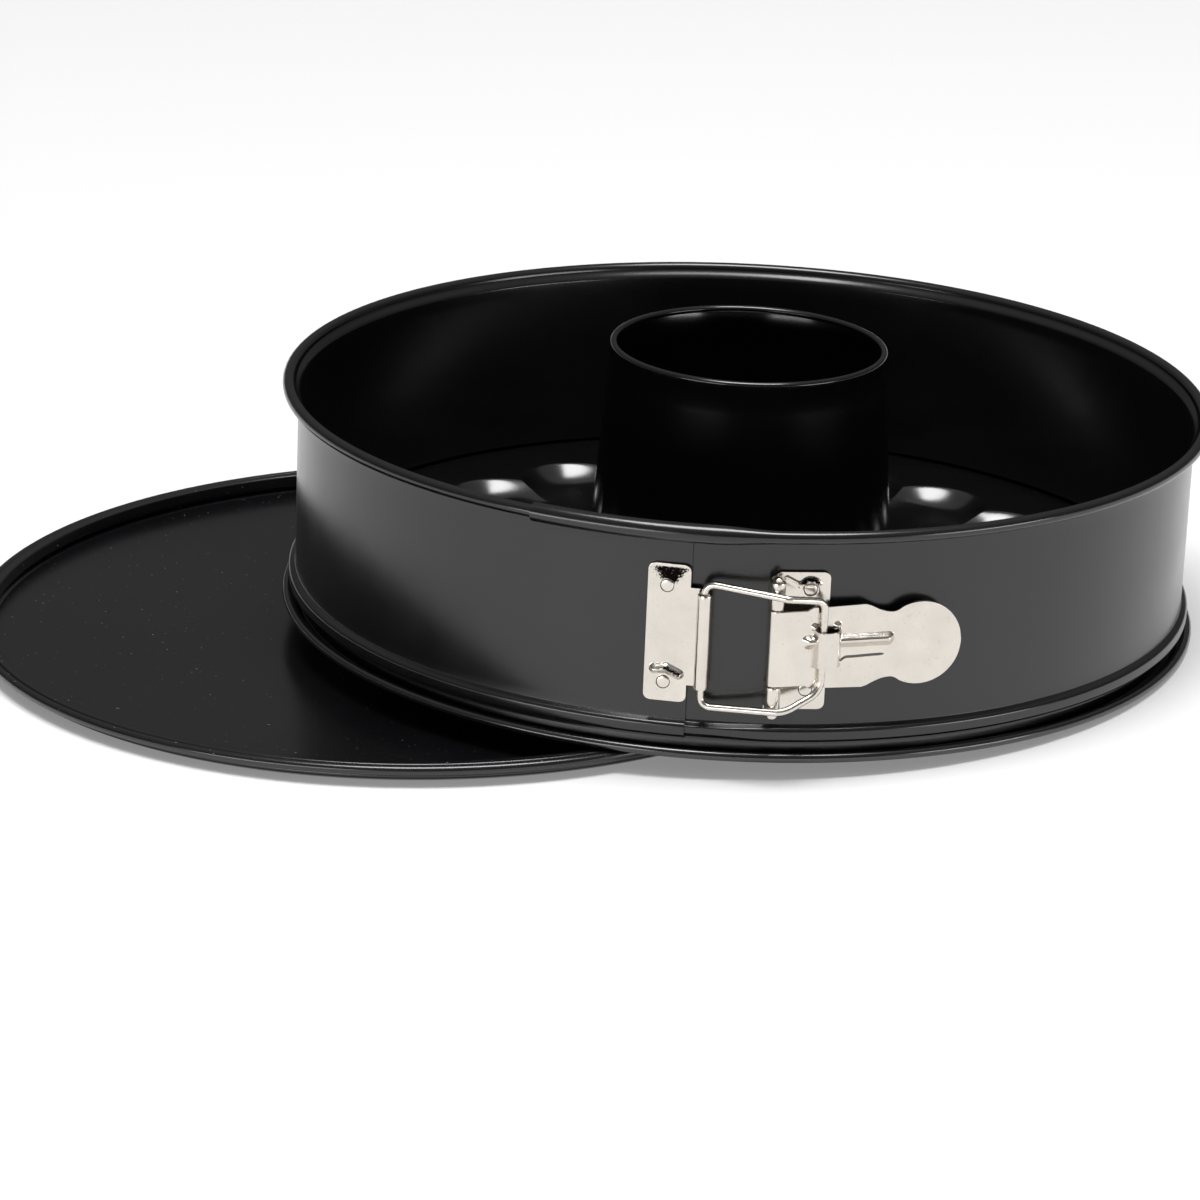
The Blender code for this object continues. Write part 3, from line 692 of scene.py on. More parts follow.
def rolled_strip(
    points: Sequence[Point2], span: Point2, sheet: float, name: str, matrix: Matrix
) -> bpy.types.Object:
    """A strip rolled round an upright line.

    Args:
        points: the strip's middle line, as (side, out) points.
        span: the heights of its lower and its upper edge.
        sheet: the strip's thickness.
        name: the object's name.
        matrix: where its frame stands.

    Returns:
        The finished object.
    """
    low, high = span
    steps = max(2, round((high - low) / (1.5 * MM)))
    rows = [
        [(x, -out, low + (high - low) * k / steps) for k in range(steps + 1)] for x, out in points
    ]
    return pressed_sheet(rows, sheet, name, matrix)


def smooth_step(value: float, start: float, end: float) -> float:
    """A soft step from 0 at start to 1 at end."""
    part = min(max((value - start) / (end - start), 0.0), 1.0)
    return part * part * (3 - 2 * part)


def rounded(away: float, radius: float) -> float:
    """A distance from a crest whose top is rounded off."""
    return math.hypot(away, radius) - radius


def from_line(place: Vector, start: Point2, end: Point2) -> float:
    """How far a place lies from the line between two points.

    Args:
        place: the place.
        start: the line's first point.
        end: its last point.

    Returns:
        The distance.
    """
    a, b = Vector(start), Vector(end)
    part = max(0.0, min(1.0, (place - a).dot(b - a) / (b - a).length_squared))
    return (place - a - (b - a) * part).length


def paint_shade_and_ring(obj: bpy.types.Object, amount: Callable[[Vector], float]) -> None:
    """Writes on a mesh how far it is darkened by painted shade, painted dark reflections and dark
    rivet rings.

    Args:
        obj: the object that holds the mesh.
        amount: says how far it is darkened at a point of its own frame.
    """
    layer = obj.data.attributes.new("painted_shade_and_ring", "FLOAT", "POINT")
    for value, vert in zip(layer.data, obj.data.vertices):
        value.value = amount(vert.co)


def dressed(
    obj: bpy.types.Object, material: bpy.types.Material, replaced: str
) -> bpy.types.Object:
    """Gives a piece its finish and hides the node that it stands for.

    Args:
        obj: the piece.
        material: its finish.
        replaced: the node that the piece stands for.

    Returns:
        The same piece.
    """
    obj.data.materials.clear()
    obj.data.materials.append(material)
    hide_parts(replaced)
    return obj


# Where things stand


@dataclass(frozen=True)
class LeaningFrame:
    """How the pan leans on the edge of its spare base."""

    distance: float = 98.0 * MM
    foot_radius: float = 142.9 * MM
    crest_radius: float = 138.9 * MM
    support: float = 6.7 * MM
    clearance: float = 0.1 * MM

    @property
    def tilt(self) -> float:
        """The pan's lean about the Y axis.

        Returns:
            The angle in radians.
        """
        spread = self.foot_radius**2 - self.crest_radius**2
        crossing = self.distance / 2 - spread / self.distance / 2
        return math.asin(self.support / (self.foot_radius + crossing))

    def pan(self) -> Matrix:
        """The frame whose Z is the pan's axis."""
        lift = (self.foot_radius + self.clearance) * math.sin(self.tilt)
        return Matrix.Translation((self.distance, 0, lift)) @ Matrix.Rotation(self.tilt, 4, "Y")

    def facing(self, degrees: float) -> Matrix:
        """The pan's frame turned so that its -Y points straight out at an angle."""
        return self.pan() @ Matrix.Rotation(math.radians(degrees) + QUARTER, 4, "Z")


@dataclass(frozen=True)
class Hinge:
    """Where the clasp's pin stands and how high the clasp's middle lies."""

    azimuth: float = -88.55
    side: float = -7.5 * MM
    out: float = 145.3 * MM
    height: float = 36.6 * MM


@dataclass(frozen=True)
class BaseRim:
    """The edge that both bases share: seat, channel and outward roll."""

    sheet: float = 0.7 * MM
    floor_radius: float = 137.9 * MM
    floor_run: float = 3.0 * MM
    seat_radius: float = 138.2 * MM
    seat_tip: float = 140.1 * MM
    seat_tip_half: float = 0.4 * MM
    seat_half: float = 1.15 * MM
    seat_drop: float = 1.95 * MM
    channel_inner: float = 138.9 * MM
    channel_outer: float = 141.2 * MM
    roll_centre: float = 142.9 * MM
    roll: float = 1.15 * MM
    roll_end: float = -150.0
    floor_fillet: float = 0.7 * MM
    tip_fillet: float = 0.4 * MM
    seat_fillet: float = 0.5 * MM
    inner_fillet: float = 0.6 * MM
    outer_fillet: float = 0.3 * MM

    def section(self, floor: float) -> list[Point2]:
        """The rim's middle line.

        Args:
            floor: the height of the base's floor above the rim's underside.

        Returns:
            The line's points, from the floor to the end of the roll.
        """
        seat = floor - self.seat_drop
        low = self.sheet / 2
        line = filleted_section(
            [
                (self.floor_radius - self.floor_run, floor - low, 0),
                (self.floor_radius, floor - low, self.floor_fillet),
                (self.seat_tip, seat + self.seat_tip_half, self.tip_fillet),
                (self.seat_tip, seat - self.seat_tip_half, self.tip_fillet),
                (self.seat_radius, seat - self.seat_half, self.seat_fillet),
                (self.channel_inner, low, self.inner_fillet),
                (self.channel_outer, low, self.outer_fillet),
                (self.roll_centre - self.roll, low + self.roll, 0),
            ],
            4,
        )
        centre = (self.roll_centre, low + self.roll)
        return line + arc(centre, self.roll, math.pi, math.radians(self.roll_end), 16)[1:]


# Sub-assemblies


@dataclass
class FlatBase:
    """The spare base, which lies upside down."""

    coating: NonStickCoating
    rim: BaseRim = field(default_factory=BaseRim)
    height: float = 6.4 * MM
    rings: tuple[float, ...] = (0.0, 20.0 * MM, 50.0 * MM, 85.0 * MM, 115.0 * MM)
    steps: int = 288

    def build(self) -> bpy.types.Object:
        """Builds the base and puts it on its body.

        Returns:
            The base.
        """
        line = [(r, self.height - h) for r, h in self.rim.section(self.height)]
        floor = [(r, line[0][1]) for r in self.rings]
        mesh = turned(floor + line, self.steps, "flat_base_dressed")
        obj = shown(mesh, "flat_base_dressed")
        solid = obj.modifiers.new("sheet", "SOLIDIFY")
        solid.thickness = self.rim.sheet
        solid.offset = 0
        solid.use_even_offset = True
        dressed(baked(obj), self.coating.material(), "flat_base")
        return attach(obj, Body.FLAT_BASE.value)


@dataclass
class TubeBase:
    """The base with petal-shaped hollows."""

    coating: NonStickCoating
    frame: LeaningFrame
    rim: BaseRim = field(default_factory=lambda: BaseRim(floor_radius=139.0 * MM))
    floor: float = 10.25 * MM
    petals: int = 20
    steps_per_petal: int = 18
    tip: float = 119.5 * MM
    shoulder: float = 110.5 * MM
    border: float = 127.0 * MM
    root: float = 58.0 * MM
    hole: float = 49.25 * MM
    hollow_depth: float = 5.6 * MM
    hollow_deepest: float = 0.165
    ridge_depth: float = 4.5 * MM
    ridge_deepest: float = 0.4
    hub_depth: float = 3.5 * MM
    shoulder_round: float = 0.05
    rings: int = 48
    ring_crowding: float = 1.6

    def sunk(self, inward: float, depth: float, deepest: float) -> float:
        """How far the floor lies below its border.

        Args:
            inward: 0 at the petal's outer edge and 1 at its root.
            depth: the greatest depth.
            deepest: where on the way inward that depth is reached.

        Returns:
            The depth in metres.
        """
        way = math.hypot(inward / deepest, self.shoulder_round) - self.shoulder_round
        fall = depth * math.sin(QUARTER * min(1.0, way))
        rise = (depth - self.hub_depth) * max(0.0, (inward - deepest) / (1 - deepest)) ** 2
        return fall - rise

    def depth(self, inward: float, across: float) -> float:
        """How far the floor lies below its border at a place in a petal.

        Args:
            inward: 0 at the petal's outer edge and 1 at its root.
            across: 0 in the petal's middle and 1 on the ridge beside it.

        Returns:
            The depth in metres.
        """
        hollow = self.sunk(inward, self.hollow_depth, self.hollow_deepest)
        ridge = self.sunk(inward, self.ridge_depth, self.ridge_deepest)
        return hollow + (ridge - hollow) * across**2

    def section(self, across: float) -> list[Point2]:
        """The base's middle line.

        Args:
            across: 0 in a petal's middle and 1 on the ridge beside it.

        Returns:
            The line's points, from the hole to the end of the rim's roll.
        """
        middle = self.floor - self.rim.sheet / 2
        tip = self.tip - (self.tip - self.shoulder) * across**2
        points = [(self.hole, middle - self.hub_depth)]
        for i in range(self.rings):
            inward = (1 - i / (self.rings - 1)) ** self.ring_crowding
            level = middle - self.depth(inward, across)
            points.append((tip + (self.root - tip) * inward, level))
        points += [(tip + (self.border - tip) * i / 3, middle) for i in (1, 2, 3)]
        return points + self.rim.section(self.floor)

    def build(self) -> bpy.types.Object:
        """Builds the base and puts it on its body.

        Returns:
            The base.
        """
        count = self.petals * self.steps_per_petal
        sections = []
        for i in range(count):
            across = abs(2 * ((i / self.steps_per_petal) % 1.0) - 1)
            outline = sheet_outline(self.section(across), self.rim.sheet)
            sections.append(stood(outline, math.tau * i / count))
        mesh = tube_of_sections(sections, "tube_base_dressed", True, (False, False))
        obj = shown(mesh, "tube_base_dressed", self.frame.pan())
        dressed(obj, self.coating.material(), "tube_base_plate")
        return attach(obj, Body.TUBE_BASE.value)


@dataclass
class ConicalTube:
    """The tube in the middle of the pan, with a lap seam on its left."""

    coating: NonStickCoating
    frame: LeaningFrame
    sheet: float = 0.6 * MM
    top: float = 85.3 * MM
    top_radius: float = 43.25 * MM
    foot_radius: float = 48.65 * MM
    foot_fillet: float = 0.8 * MM
    flange: float = 52.4 * MM
    flange_height: float = 5.45 * MM
    roll: float = 0.8 * MM
    roll_span: Point2 = (-38.0, 235.0)
    neck_share: float = 0.71
    neck_inset: float = 0.1 * MM
    seam_angle: float = 196.0
    seam_width: float = 5.0
    seam_rise: float = 0.3 * MM
    seam_edge: float = 0.0015
    seam_flat: float = 0.3
    rings: int = 9
    steps: int = 240

    def section(self, rise: float) -> list[Point2]:
        """The tube's middle line.

        Args:
            rise: how far the outer layer of the lap stands off.

        Returns:
            The line's points, from the flange to the end of the roll.
        """
        centre = (self.top_radius - self.roll, self.top - self.sheet / 2 - self.roll)
        drop = self.roll * self.neck_share
        foot = filleted_section(
            [
                (self.flange, self.flange_height, 0),
                (self.foot_radius, self.flange_height, self.foot_fillet),
                (centre[0] + drop - self.neck_inset, centre[1] - drop, 0),
            ]
        )
        wall = []
        (x0, y0), (x1, y1) = foot[-2], foot[-1]
        for i in range(1, self.rings):
            wall.append((x0 + (x1 - x0) * i / self.rings + rise, y0 + (y1 - y0) * i / self.rings))
        start, end = (math.radians(angle) for angle in self.roll_span)
        return foot[:-1] + wall + arc(centre, self.roll, start, end, 14)

    def build(self) -> bpy.types.Object:
        """Builds the tube and puts it on its body.

        Returns:
            The tube.
        """
        sections = []
        seam = math.radians(self.seam_angle)
        width = math.radians(self.seam_width)
        angles = [math.tau * i / self.steps for i in range(self.steps)]
        angles += [seam - self.seam_edge, seam, seam + width]
        for angle in sorted(angles):
            inside = seam <= angle <= seam + width
            fade = 1 - smooth_step(angle, seam + width * self.seam_flat, seam + width)
            rise = self.seam_rise * fade if inside else 0.0
            sections.append(stood(sheet_outline(self.section(rise), self.sheet), angle))
        mesh = tube_of_sections(sections, "tube_dressed", True, (False, False))
        obj = shown(mesh, "tube_dressed", self.frame.pan())
        dressed(obj, self.coating.material(), "tube")
        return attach(obj, Body.TUBE_BASE.value)


@dataclass
class RingBand:
    """The sprung band, whose right end runs inside its left end."""

    coating: NonStickCoating
    frame: LeaningFrame
    wall_radius: float = 140.5 * MM
    sheet: float = 0.6 * MM
    bottom: float = 4.9 * MM
    top: float = 71.4 * MM
    bead_height: float = 8.3 * MM
    bead_half: float = 2.5 * MM
    bead_flat: float = 0.62
    bead_standout: float = 2.1 * MM
    bead_run: float = 3.0 * MM
    foot_fillet: float = 0.5 * MM
    bead_fillet: float = 1.2 * MM
    wall_fillet: float = 0.6 * MM
    curl: float = 1.6 * MM
    curl_end: float = -128.0
    flare: float = 1.8 * MM
    flare_height: float = 2.9 * MM
    wall_rings: int = 12
    flare_rings: int = 8
    lap_step: float = 0.95 * MM
    seam: float = -101.6
    tongue: float = -120.9
    joggle: Point2 = (-99.0, -91.0)
    step: float = 1.0

    def section(self) -> list[Point2]:
        """The band's middle line.

        Returns:
            The line's points, from its foot to the end of its curl.
        """
        middle = self.wall_radius - self.sheet / 2
        crest = middle + self.bead_standout
        low, high = self.bead_height - self.bead_half, self.bead_height + self.bead_half
        flat = self.bead_half * self.bead_flat
        foot = filleted_section(
            [
                (middle, self.bottom, 0),
                (middle, low, self.foot_fillet),
                (crest, self.bead_height - flat, self.bead_fillet),
                (crest, self.bead_height + flat, self.bead_fillet),
                (middle, high, self.wall_fillet),
                (middle, high + self.bead_run, 0),
            ],
            5,
        )
        centre = (middle + self.flare + self.curl, self.top - self.curl - self.sheet / 2)
        start, end = foot[-1][1], centre[1] - self.flare_height
        count = self.wall_rings
        wall = [(middle, start + (end - start) * i / count) for i in range(1, count + 1)]
        count = self.flare_rings
        flare = [
            (middle + self.flare * smooth_step(i, 0, count), end + self.flare_height * i / count)
            for i in range(1, count)
        ]
        curl = arc(centre, self.curl, math.pi, math.radians(self.curl_end), 22)
        return foot + wall + flare + curl

    def lap(self, angle: float) -> float:
        """How far inside its outer layer the band runs at an angle in degrees."""
        return self.lap_step * (1 - smooth_step(angle, *self.joggle))

    def stretch(
        self, start: float, end: float, name: str, caps: tuple[bool, bool]
    ) -> bpy.types.Object:
        """Builds the band between two angles.

        Args:
            start: first angle in degrees.
            end: last angle in degrees.
            name: the object's name.
            caps: whether the band really ends there.

        Returns:
            The object.
        """
        line = self.section()
        count = math.ceil((end - start) / self.step)
        sections = []
        for i in range(count + 1):
            angle = start + (end - start) * i / count
            outline = sheet_outline(moved_left(line, self.lap(angle)), self.sheet)
            sections.append(stood(outline, math.radians(angle)))
        mesh = tube_of_sections(sections, name, False, caps)
        mesh.transform(self.frame.pan())
        return shown(mesh, name)

    def build(self) -> list[bpy.types.Object]:
        """Builds the band in three stretches: the right one rides on the ring and the left one on the
        catch.

        Returns:
            The right, the back and the left stretch.
        """
        material = self.coating.material()
        right = self.stretch(self.tongue, 0, "band_right", (True, False))
        back = self.stretch(0, 180, "band_back", (False, False))
        left = self.stretch(180, self.seam + 360, "band_left", (False, True))
        for piece in (right, back, left):
            dressed(piece, material, "ring_band")
        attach(right, Body.RING.value)
        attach(left, Body.CATCH.value)
        pan = self.frame.pan()
        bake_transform(back)
        return [right, back, left]


@dataclass
class Rivets:
    """Flush rivets that hold the two plates on the band."""

    finish: NickelPlate
    frame: LeaningFrame
    radius: float = 1.95 * MM
    rim: float = 2.1 * MM
    rim_drop: float = 0.12 * MM
    front: float = 141.86 * MM
    inner_face: float = 139.9 * MM
    seat_gap: float = 0.3 * MM
    head: float = 2.7 * MM
    head_thick: float = 0.5 * MM
    dark_ring_fade: Point2 = (0.06 * MM, 0.16 * MM)
    face: tuple[Point2, ...] = (
        (0.0, 0.06 * MM),
        (0.5, 0.05 * MM),
        (0.82, 0.0),
        (0.92, -0.08 * MM),
        (0.98, -0.2 * MM),
        (1.03, -0.1 * MM),
    )

    def section(self, headed: bool) -> list[Point2]:
        """The rivet's outer line.

        Args:
            headed: whether it has a head inside the wall.

        Returns:
            The line's points, from the middle of its front to the middle of its back.
        """
        line = [(self.radius * share, self.front + rise) for share, rise in self.face]
        line.append((self.rim, self.front - self.rim_drop))
        if not headed:
            return [*line, (self.rim, self.inner_face), (0, self.inner_face)]
        seat = self.inner_face - self.seat_gap
        dome = arc((0, 0), 1.0, 0, QUARTER, 8)
        head = [(self.head * x, seat - self.head_thick * y) for x, y in dome]
        return [*line, (self.rim, seat), *head]

    def painted_shade_and_ring(self, away: float) -> float:
        """The darkened ring in the groove round the rivet's front."""
        return 1 - smooth_step(abs(away - self.radius), *self.dark_ring_fade)

    def build_one(
        self, node: str, body: Body, azimuth: float, side: float, height: float, headed: bool
    ) -> bpy.types.Object:
        """Builds one rivet.

        Args:
            node: the node that it stands for.
            body: the body that it rides on.
            azimuth: where its plate faces, in degrees.
            side: its place along the plate.
            height: its height in the pan's frame.
            headed: whether it has a head inside the wall.

        Returns:
            The rivet.
        """
        name = f"{node}_dressed"
        mesh = turned(self.section(headed), 48, name)
        place = (
            self.frame.facing(azimuth)
            @ Matrix.Translation((side, 0, height))
            @ Matrix.Rotation(QUARTER, 4, "X")
        )
        obj = shown(mesh, name, place)
        # Darkens the ring in the groove round the rivet's front.
        paint_shade_and_ring(obj, lambda p: self.painted_shade_and_ring(math.hypot(p.x, p.y)))
        dressed(obj, self.finish.material(), node)
        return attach(obj, body.value)


@dataclass
class StandingPlate:
    """A flat plate on the outside of the band, with what is pressed into it."""

    left: float
    right: float
    low: float
    high: float
    corner: Point2 = (2.0 * MM, 2.0 * MM)
    chamfer: Point2 = (0.0, 0.0)
    tab: Point3 | None = None
    back: float = 140.8 * MM
    sheet: float = 0.8 * MM
    pitch: float = 0.3 * MM
    tab_cells: int = 8

    @property
    def middle(self) -> float:
        """How far from the pan's axis the middle of the sheet lies."""
        return self.back + self.sheet / 2

    @property
    def wide(self) -> int:
        """How many cells lie side by side in the plate itself."""
        return round((self.right - self.left) / self.pitch)

    def heights(self) -> list[float]:
        """The heights of the grid's rows.

        Returns:
            The heights, from the bottom to the top.
        """
        tall = round((self.high - self.low) / self.pitch)
        heights = {self.low + (self.high - self.low) * i / tall for i in range(tall + 1)}
        if self.tab:
            heights |= {self.tab[0], self.tab[1]}
        return sorted(heights)

    def ends(self, height: float) -> Point2:
        """Where a row starts and ends, so that the corners are round or cut off.

        Args:
            height: the row's height.

        Returns:
            The sides at which it starts and ends.
        """
        cuts = []
        for radius in self.corner:
            gap = max(radius - (height - self.low), radius - (self.high - height), 0.0)
            cuts.append(radius - math.sqrt(max(radius**2 - gap**2, 0.0)))
        wide, tall = self.chamfer
        if tall and height > self.high - tall:
            cuts[0] = max(cuts[0], wide * (height - self.high + tall) / tall)
        return self.left + cuts[0], self.right - cuts[1]

    def rows(self, relief: Callable[[float, float], float]) -> list[list[Point3]]:
        """The grid of the plate's middle.

        Args:
            relief: how far the plate stands out at a side and a height.

        Returns:
            The rows from the bottom to the top.
        """
        rows = []
        for height in self.heights():
            start, end = self.ends(height)
            sides = [start + (end - start) * j / self.wide for j in range(self.wide + 1)]
            if self.tab:
                reach = self.tab[2] - end
                sides += [end + reach * (j + 1) / self.tab_cells for j in range(self.tab_cells)]
            rows.append([(side, -(self.middle + relief(side, height)), height) for side in sides])
        return rows

    def is_open(self, row: int, cell: int) -> bool:
        """Whether a cell lies above or below the tab.

        Args:
            row: the number of the cell's row.
            cell: the cell's number in its row.

        Returns:
            Whether it is left open.
        """
        if not self.tab or cell < self.wide:
            return False
        heights = self.heights()
        return not self.tab[0] < (heights[row] + heights[row + 1]) / 2 < self.tab[1]


@dataclass
class CatchPlate:
    """The plate on the band's left end, with the barrel that holds the bail."""

    finish: NickelPlate
    frame: LeaningFrame
    azimuth: float = -104.2
    plate: StandingPlate = field(
        default_factory=lambda: StandingPlate(
            -6.2 * MM, 6.4 * MM, 16.8 * MM, 58.9 * MM, tab=(22.2 * MM, 52.2 * MM, 9.3 * MM)
        )
    )
    rivet_side: float = -0.5 * MM
    rivet_heights: Point2 = (22.6 * MM, 52.3 * MM)
    barrel_side: float = 10.9 * MM
    barrel_curl: float = 1.8 * MM
    barrel_end: float = 200.0
    barrel_span: Point2 = (22.2 * MM, 51.1 * MM)
    nub: tuple[Point2, Point2, Point2] = (
        (-3.2 * MM, 26.5 * MM),
        (0.2 * MM, 27.0 * MM),
        (4.0 * MM, 25.2 * MM),
    )
    nub_slope: float = 1.3
    nub_rise: float = 1.4 * MM
    nub_round: float = 0.35 * MM
    # Painted shade on the nub's right arm.
    nub_shade: float = 0.85
    nub_shade_lift: float = 0.3 * MM
    nub_shade_fade: Point2 = (0.35 * MM, 0.9 * MM)
    # A painted dark reflection under the plate's top edge, widening upwards.
    painted_reflection: Point2 = (0.3 * MM, 53.4 * MM)
    painted_reflection_tall: float = 4.2 * MM
    painted_reflection_half: float = 2.1 * MM
    painted_reflection_flare: float = 3.3 * MM
    painted_reflection_fade: Point2 = (0.35, 1.45)
    painted_reflection_top: Point2 = (0.6 * MM, 1.1 * MM)
    painted_reflection_foot: Point2 = (-1.0 * MM, 0.4 * MM)

    def relief(self, side: float, height: float) -> float:
        """The pressed chevron nub above the lower rivet.

        Args:
            side: the place along the plate.
            height: the place's height.

        Returns:
            How far the plate stands out there.
        """
        place = Vector((side, height))
        away = min(from_line(place, *arm) for arm in zip(self.nub, self.nub[1:]))
        return max(0.0, self.nub_rise - self.nub_slope * rounded(away, self.nub_round))

    def painted_shade_and_ring(self, side: float, height: float) -> float:
        """The painted dark reflection that widens towards the top edge, and the painted shade on the
        nub's right arm.

        Args:
            side: the place along the plate.
            height: the place's height.

        Returns:
            How far it is darkened, from 0 to 1.
        """
        # Painted dark reflection under the top edge.
        centre, foot = self.painted_reflection
        up = min(1.0, max(0.0, (height - foot) / self.painted_reflection_tall))
        across = abs(side - centre) / (self.painted_reflection_half + self.painted_reflection_flare * up)
        painted_reflection = smooth_step(self.plate.high - height, *self.painted_reflection_top)
        painted_reflection *= smooth_step(height - foot, *self.painted_reflection_foot)
        painted_reflection *= 1 - smooth_step(across, *self.painted_reflection_fade)
        # Painted shade along the nub's right arm.
        away = from_line(Vector((side, height - self.nub_shade_lift)), *self.nub[1:])
        return max(painted_reflection, self.nub_shade * (1 - smooth_step(away, *self.nub_shade_fade)))

    def build(self) -> bpy.types.Object:
        """Builds the plate and puts it on its body.

        Returns:
            The catch plate.
        """
        facing = self.frame.facing(self.azimuth)
        shape = self.plate
        rows = shape.rows(self.relief)
        plate = pressed_sheet(rows, shape.sheet, "plate", facing, shape.is_open)
        # Paints the dark reflection under the top edge and the shade on the nub's right arm.
        paint_shade_and_ring(plate, lambda p: self.painted_shade_and_ring(p.x, p.z))
        centre = (self.barrel_side, shape.middle + self.barrel_curl)
        end = math.radians(self.barrel_end)
        line = [(shape.tab[2], shape.middle), *arc(centre, self.barrel_curl, -QUARTER, end, 30)]
        roll = rolled_strip(line, self.barrel_span, shape.sheet, "roll", facing)
        obj = merged([plate, roll], "catch_plate_dressed")
        dressed(obj, self.finish.material(), "catch_plate")
        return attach(obj, Body.CATCH.value)


@dataclass
class Bracket:
    """The plate on the band's right end, whose left edge is rolled into two knuckles."""

    finish: NickelPlate
    frame: LeaningFrame
    hinge: Hinge
    bore: float = 1.4 * MM
    right: float = 8.2 * MM
    low: float = 16.3 * MM
    high: float = 58.5 * MM
    sheet: float = 0.8 * MM
    corner: Point2 = (0.3 * MM, 2.0 * MM)
    chamfer: Point2 = (3.4 * MM, 2.2 * MM)
    low_knuckle: Point2 = (17.6 * MM, 24.6 * MM)
    high_knuckle: Point2 = (48.6 * MM, 56.7 * MM)
    knuckle_run: float = 1.6 * MM
    knuckle_fillet: float = 0.5 * MM
    knuckle_start: float = 0.4 * MM
    knuckle_end: float = -80.0
    cut_width: float = 2.0 * MM
    rivet_side: float = 2.4 * MM
    rivet_heights: Point2 = (22.4 * MM, 53.2 * MM)
    dimple_radius: float = 2.4 * MM
    dimple_floor: float = 0.8
    lip_width: float = 1.9 * MM
    lip_rise: float = 0.55 * MM
    lip_span: Point2 = (-1.5 * MM, 2.0 * MM)
    # A painted dark reflection, crescent-shaped, above the upper rivet's hollow.
    crescent_radius: float = 3.1 * MM
    crescent_squash: float = 1.05
    crescent_fade: Point2 = (0.35 * MM, 1.0 * MM)
    crescent_span: Point2 = (0.9 * MM, 1.9 * MM)
    crescent_shade: float = 0.85
    crease: tuple[Point2, Point2] = ((-4.6 * MM, 56.6 * MM), (-0.8 * MM, 54.6 * MM))
    crease_half: float = 1.1 * MM
    crease_rise: float = 0.25 * MM

    def relief(self, side: float, height: float) -> float:
        """The hollow round the upper rivet with its raised lip, and the crease beside it.

        Args:
            side: the place along the plate.
            height: the place's height.

        Returns:
            How far the plate stands out there.
        """
        above = height - self.rivet_heights[1]
        away = math.hypot(side - self.rivet_side, above)
        edge = self.dimple_radius
        lip = smooth_step(away, edge * self.dimple_floor, edge)
        lip *= 1 - smooth_step(away, edge, edge + self.lip_width)
        lip *= smooth_step(above, *self.lip_span)
        fold = 1 - smooth_step(from_line(Vector((side, height)), *self.crease), 0, self.crease_half)
        return self.lip_rise * lip + self.crease_rise * fold

    def painted_shade_and_ring(self, side: float, height: float) -> float:
        """The painted dark reflection, a crescent above the upper rivet.

        Args:
            side: the place along the plate.
            height: the place's height.

        Returns:
            How stained it is, from 0 to 1.
        """
        above = height - self.rivet_heights[1]
        away = math.hypot((side - self.rivet_side) * self.crescent_squash, above)
        crescent = 1 - smooth_step(abs(away - self.crescent_radius), *self.crescent_fade)
        return self.crescent_shade * crescent * smooth_step(above, *self.crescent_span)

    def build(self) -> bpy.types.Object:
        """Builds the bracket and puts it on its body.

        Returns:
            The bracket.
        """
        facing = self.frame.facing(self.hinge.azimuth)
        curl = self.bore + self.sheet / 2
        edge = self.hinge.side - curl
        left = edge - self.sheet / 2
        shape = StandingPlate(left, self.right, self.low, self.high, self.corner, self.chamfer)
        rows = shape.rows(self.relief)

        def cut_away(i: int, j: int) -> bool:
            """Whether a cell lies at the left edge between the knuckles, behind the lever."""
            between = self.low_knuckle[1] < rows[i][j][2] < self.high_knuckle[0]
            return between and rows[i][j][0] < edge + self.cut_width

        plate = pressed_sheet(rows, self.sheet, "plate", facing, cut_away)
        # Paints the crescent-shaped dark reflection above the upper rivet.
        paint_shade_and_ring(plate, lambda p: self.painted_shade_and_ring(p.x, p.z))
        line = filleted_section(
            [
                (edge + self.knuckle_run, shape.middle, 0),
                (edge, shape.middle, self.knuckle_fillet),
                (edge, self.hinge.out - self.knuckle_start, 0),
            ]
        )
        centre = (self.hinge.side, self.hinge.out)
        line += arc(centre, curl, math.pi, math.radians(self.knuckle_end), 22)
        knuckles = [
            rolled_strip(line, span, self.sheet, "knuckle", facing)
            for span in (self.low_knuckle, self.high_knuckle)
        ]
        obj = merged([plate, *knuckles], "bracket_dressed")
        dressed(obj, self.finish.material(), "bracket")
        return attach(obj, Body.RING.value)


@dataclass
class HingePin:
    """The pin that stands in the knuckles, with its head at the bottom."""

    finish: NickelPlate
    frame: LeaningFrame
    hinge: Hinge
    radius: float = 1.1 * MM
    tip_share: float = 0.7
    tip_chamfer: float = 0.3 * MM
    head: float = 1.75 * MM
    head_share: float = 0.9
    head_chamfer: float = 0.25 * MM
    head_gap: float = 0.05 * MM
    head_dome: float = 1.2 * MM
    bottom: float = 14.4 * MM
    head_top: float = 17.3 * MM
    top: float = 58.0 * MM

    def build(self) -> bpy.types.Object:
        """Builds the pin and puts it on its body.

        Returns:
            The pin.
        """
        line = [
            (0, self.top),
            (self.radius * self.tip_share, self.top),
            (self.radius, self.top - self.tip_chamfer),
            (self.radius, self.head_top + self.head_gap),
            (self.head * self.head_share, self.head_top),
            (self.head, self.head_top - self.head_chamfer),
        ]
        dome = arc((0, 0), 1.0, 0, QUARTER, 8)
        line += [(self.head * x, self.bottom + self.head_dome * (1 - y)) for x, y in dome]
        hinge = self.hinge
        place = self.frame.facing(hinge.azimuth) @ Matrix.Translation((hinge.side, -hinge.out, 0))
        obj = shown(turned(line, 32, "hinge_pin_dressed"), "hinge_pin_dressed", place)
        dressed(obj, self.finish.material(), "hinge_pin")
        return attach(obj, Body.RING.value)


